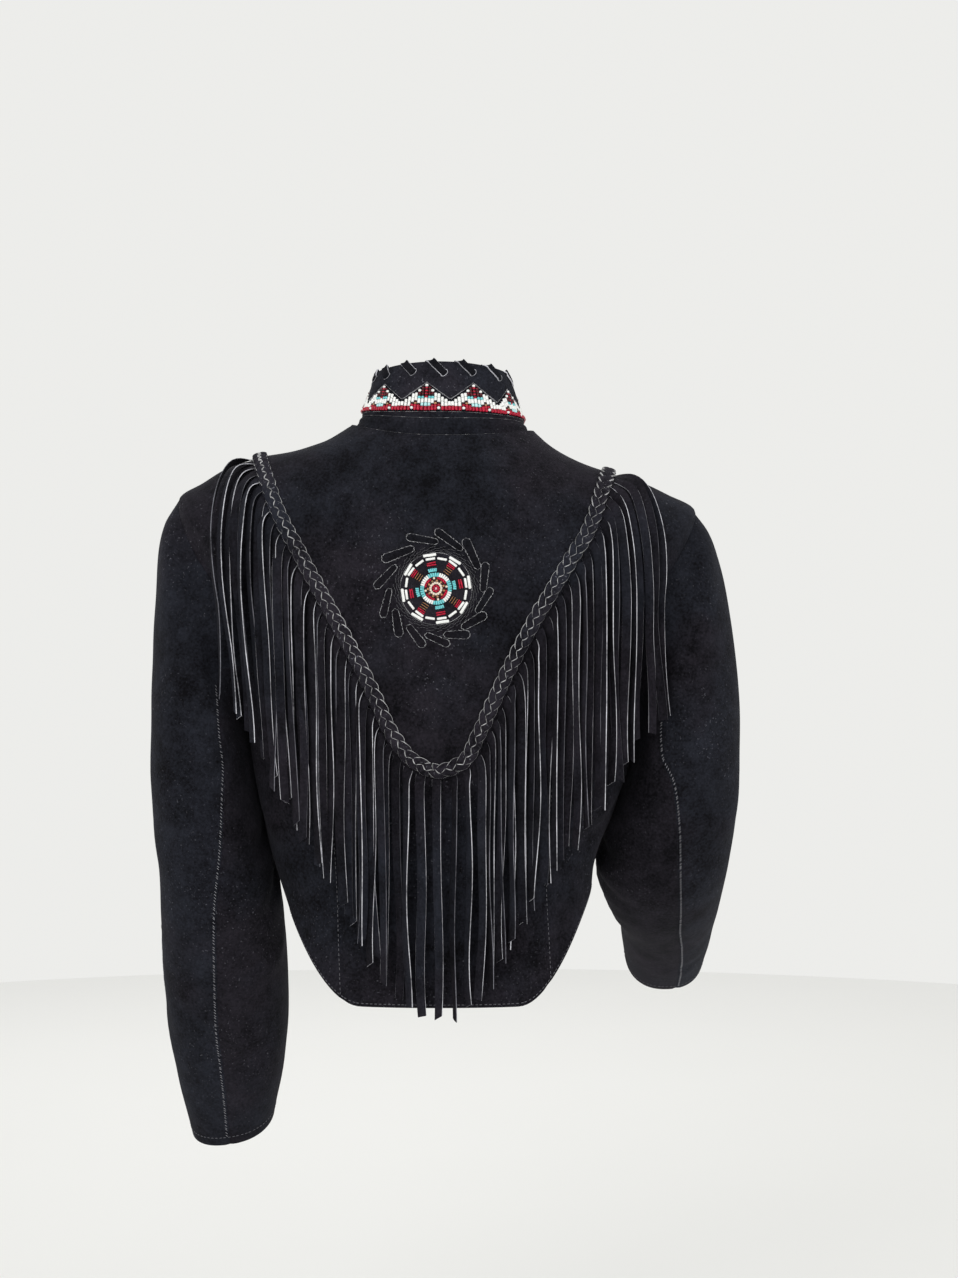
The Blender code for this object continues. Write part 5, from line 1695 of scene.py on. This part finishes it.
def feathers():
    points, faces, stitches = [], [], []
    for number in range(featherLook["count"]):
        outline = featherOutline(number)
        middle = outline.mean(axis=0)
        rings = [besideRosette(middle + (outline - middle) * share, lift)[0]
                 for share, lift in featherLook["rings"]]
        faces += tubeFaces(len(points), len(rings), len(outline))
        points += list(np.concatenate(rings))
        stitches += leafStitches(outline, number)
    faces = outwardFaces(points, faces, 2 * len(outline))
    newPiece("feathers", points, faces, ["featherSuede"], None,
             [f"feather_{k + 1:02d}" for k in range(featherLook["count"])])
    scatter("featherStitches", stitchShape, stitches + swirlStitches() + rimThread(),
            ["chainThread", "faintThread"])


rosetteFelt()
rosetteBeads()
feathers()
print("rosette and feathers made")


# the floor, the light and the camera
studio = {
    "backdrop": (0.845, 0.845, 0.825, 1),
    "backdropLight": 1.0,
    "floor": (0.85, 0.85, 0.84, 1),
    "floorHeight": -1.02,
    "floorRadius": 3.2,
    "eye": (-0.0342, 1.836, -0.1899),
    "lens": 56.3,
    "sensor": 36,
    "farClip": 40,
    # each lamp: its name, place, target, size and power
    "lamps": (("softKey", (1.1, 2.3, 1.3), (0, 0.1, -0.2), 1.3, 16),
              ("softFill", (-1.8, 1.7, 0.5), (0, 0.1, -0.3), 1.5, 8),
              ("softFront", (0.4, -2.4, 1.2), (0, 0, -0.2), 1.6, 12)),
}


def lamp(name, place, target, size, power):
    light = bpy.data.lights.new(name, "AREA")
    light.shape = "DISK"
    light.size = size
    light.energy = power
    made = bpy.data.objects.new(name, light)
    made.location = place
    made.rotation_euler = (Vector(target) - Vector(place)).to_track_quat("-Z", "Y").to_euler()
    bpy.context.scene.collection.objects.link(made)


def floorPiece():
    turns = np.linspace(0, 2 * math.pi, 96, endpoint=False)
    mesh = bpy.data.meshes.new("studioFloor")
    radius = studio["floorRadius"]
    mesh.from_pydata([(radius * math.cos(t), radius * math.sin(t), studio["floorHeight"])
                      for t in turns], [], [tuple(range(96))])
    piece = bpy.data.objects.new("studioFloor", mesh)
    bpy.context.scene.collection.objects.link(piece)

    def look(wire, place):
        tone = wire.noise(place, 3.0, 2.0)
        return {"Base Color": wire.blend(tone, darker(studio["floor"], 0.985), studio["floor"]),
                "Roughness": 0.9}

    mesh.materials.append(material("paleFloor", look))


floorPiece()
world = bpy.data.worlds.new("studioWorld")
world.use_nodes = True
backdrop = world.node_tree.nodes["Background"].inputs
backdrop["Color"].default_value = studio["backdrop"]
backdrop["Strength"].default_value = studio["backdropLight"]
bpy.context.scene.world = world
for values in studio["lamps"]:
    lamp(*values)
bpy.context.scene.view_settings.view_transform = "Standard"
view = bpy.data.cameras.new("studioCamera")
view.lens = studio["lens"]
view.sensor_fit = "VERTICAL"
view.sensor_height = studio["sensor"]
view.clip_end = studio["farClip"]
camera = bpy.data.objects.new("studioCamera", view)
camera.location = studio["eye"]
camera.rotation_euler = (math.pi / 2, 0, math.pi)
bpy.context.scene.collection.objects.link(camera)
bpy.context.scene.camera = camera

print("done")
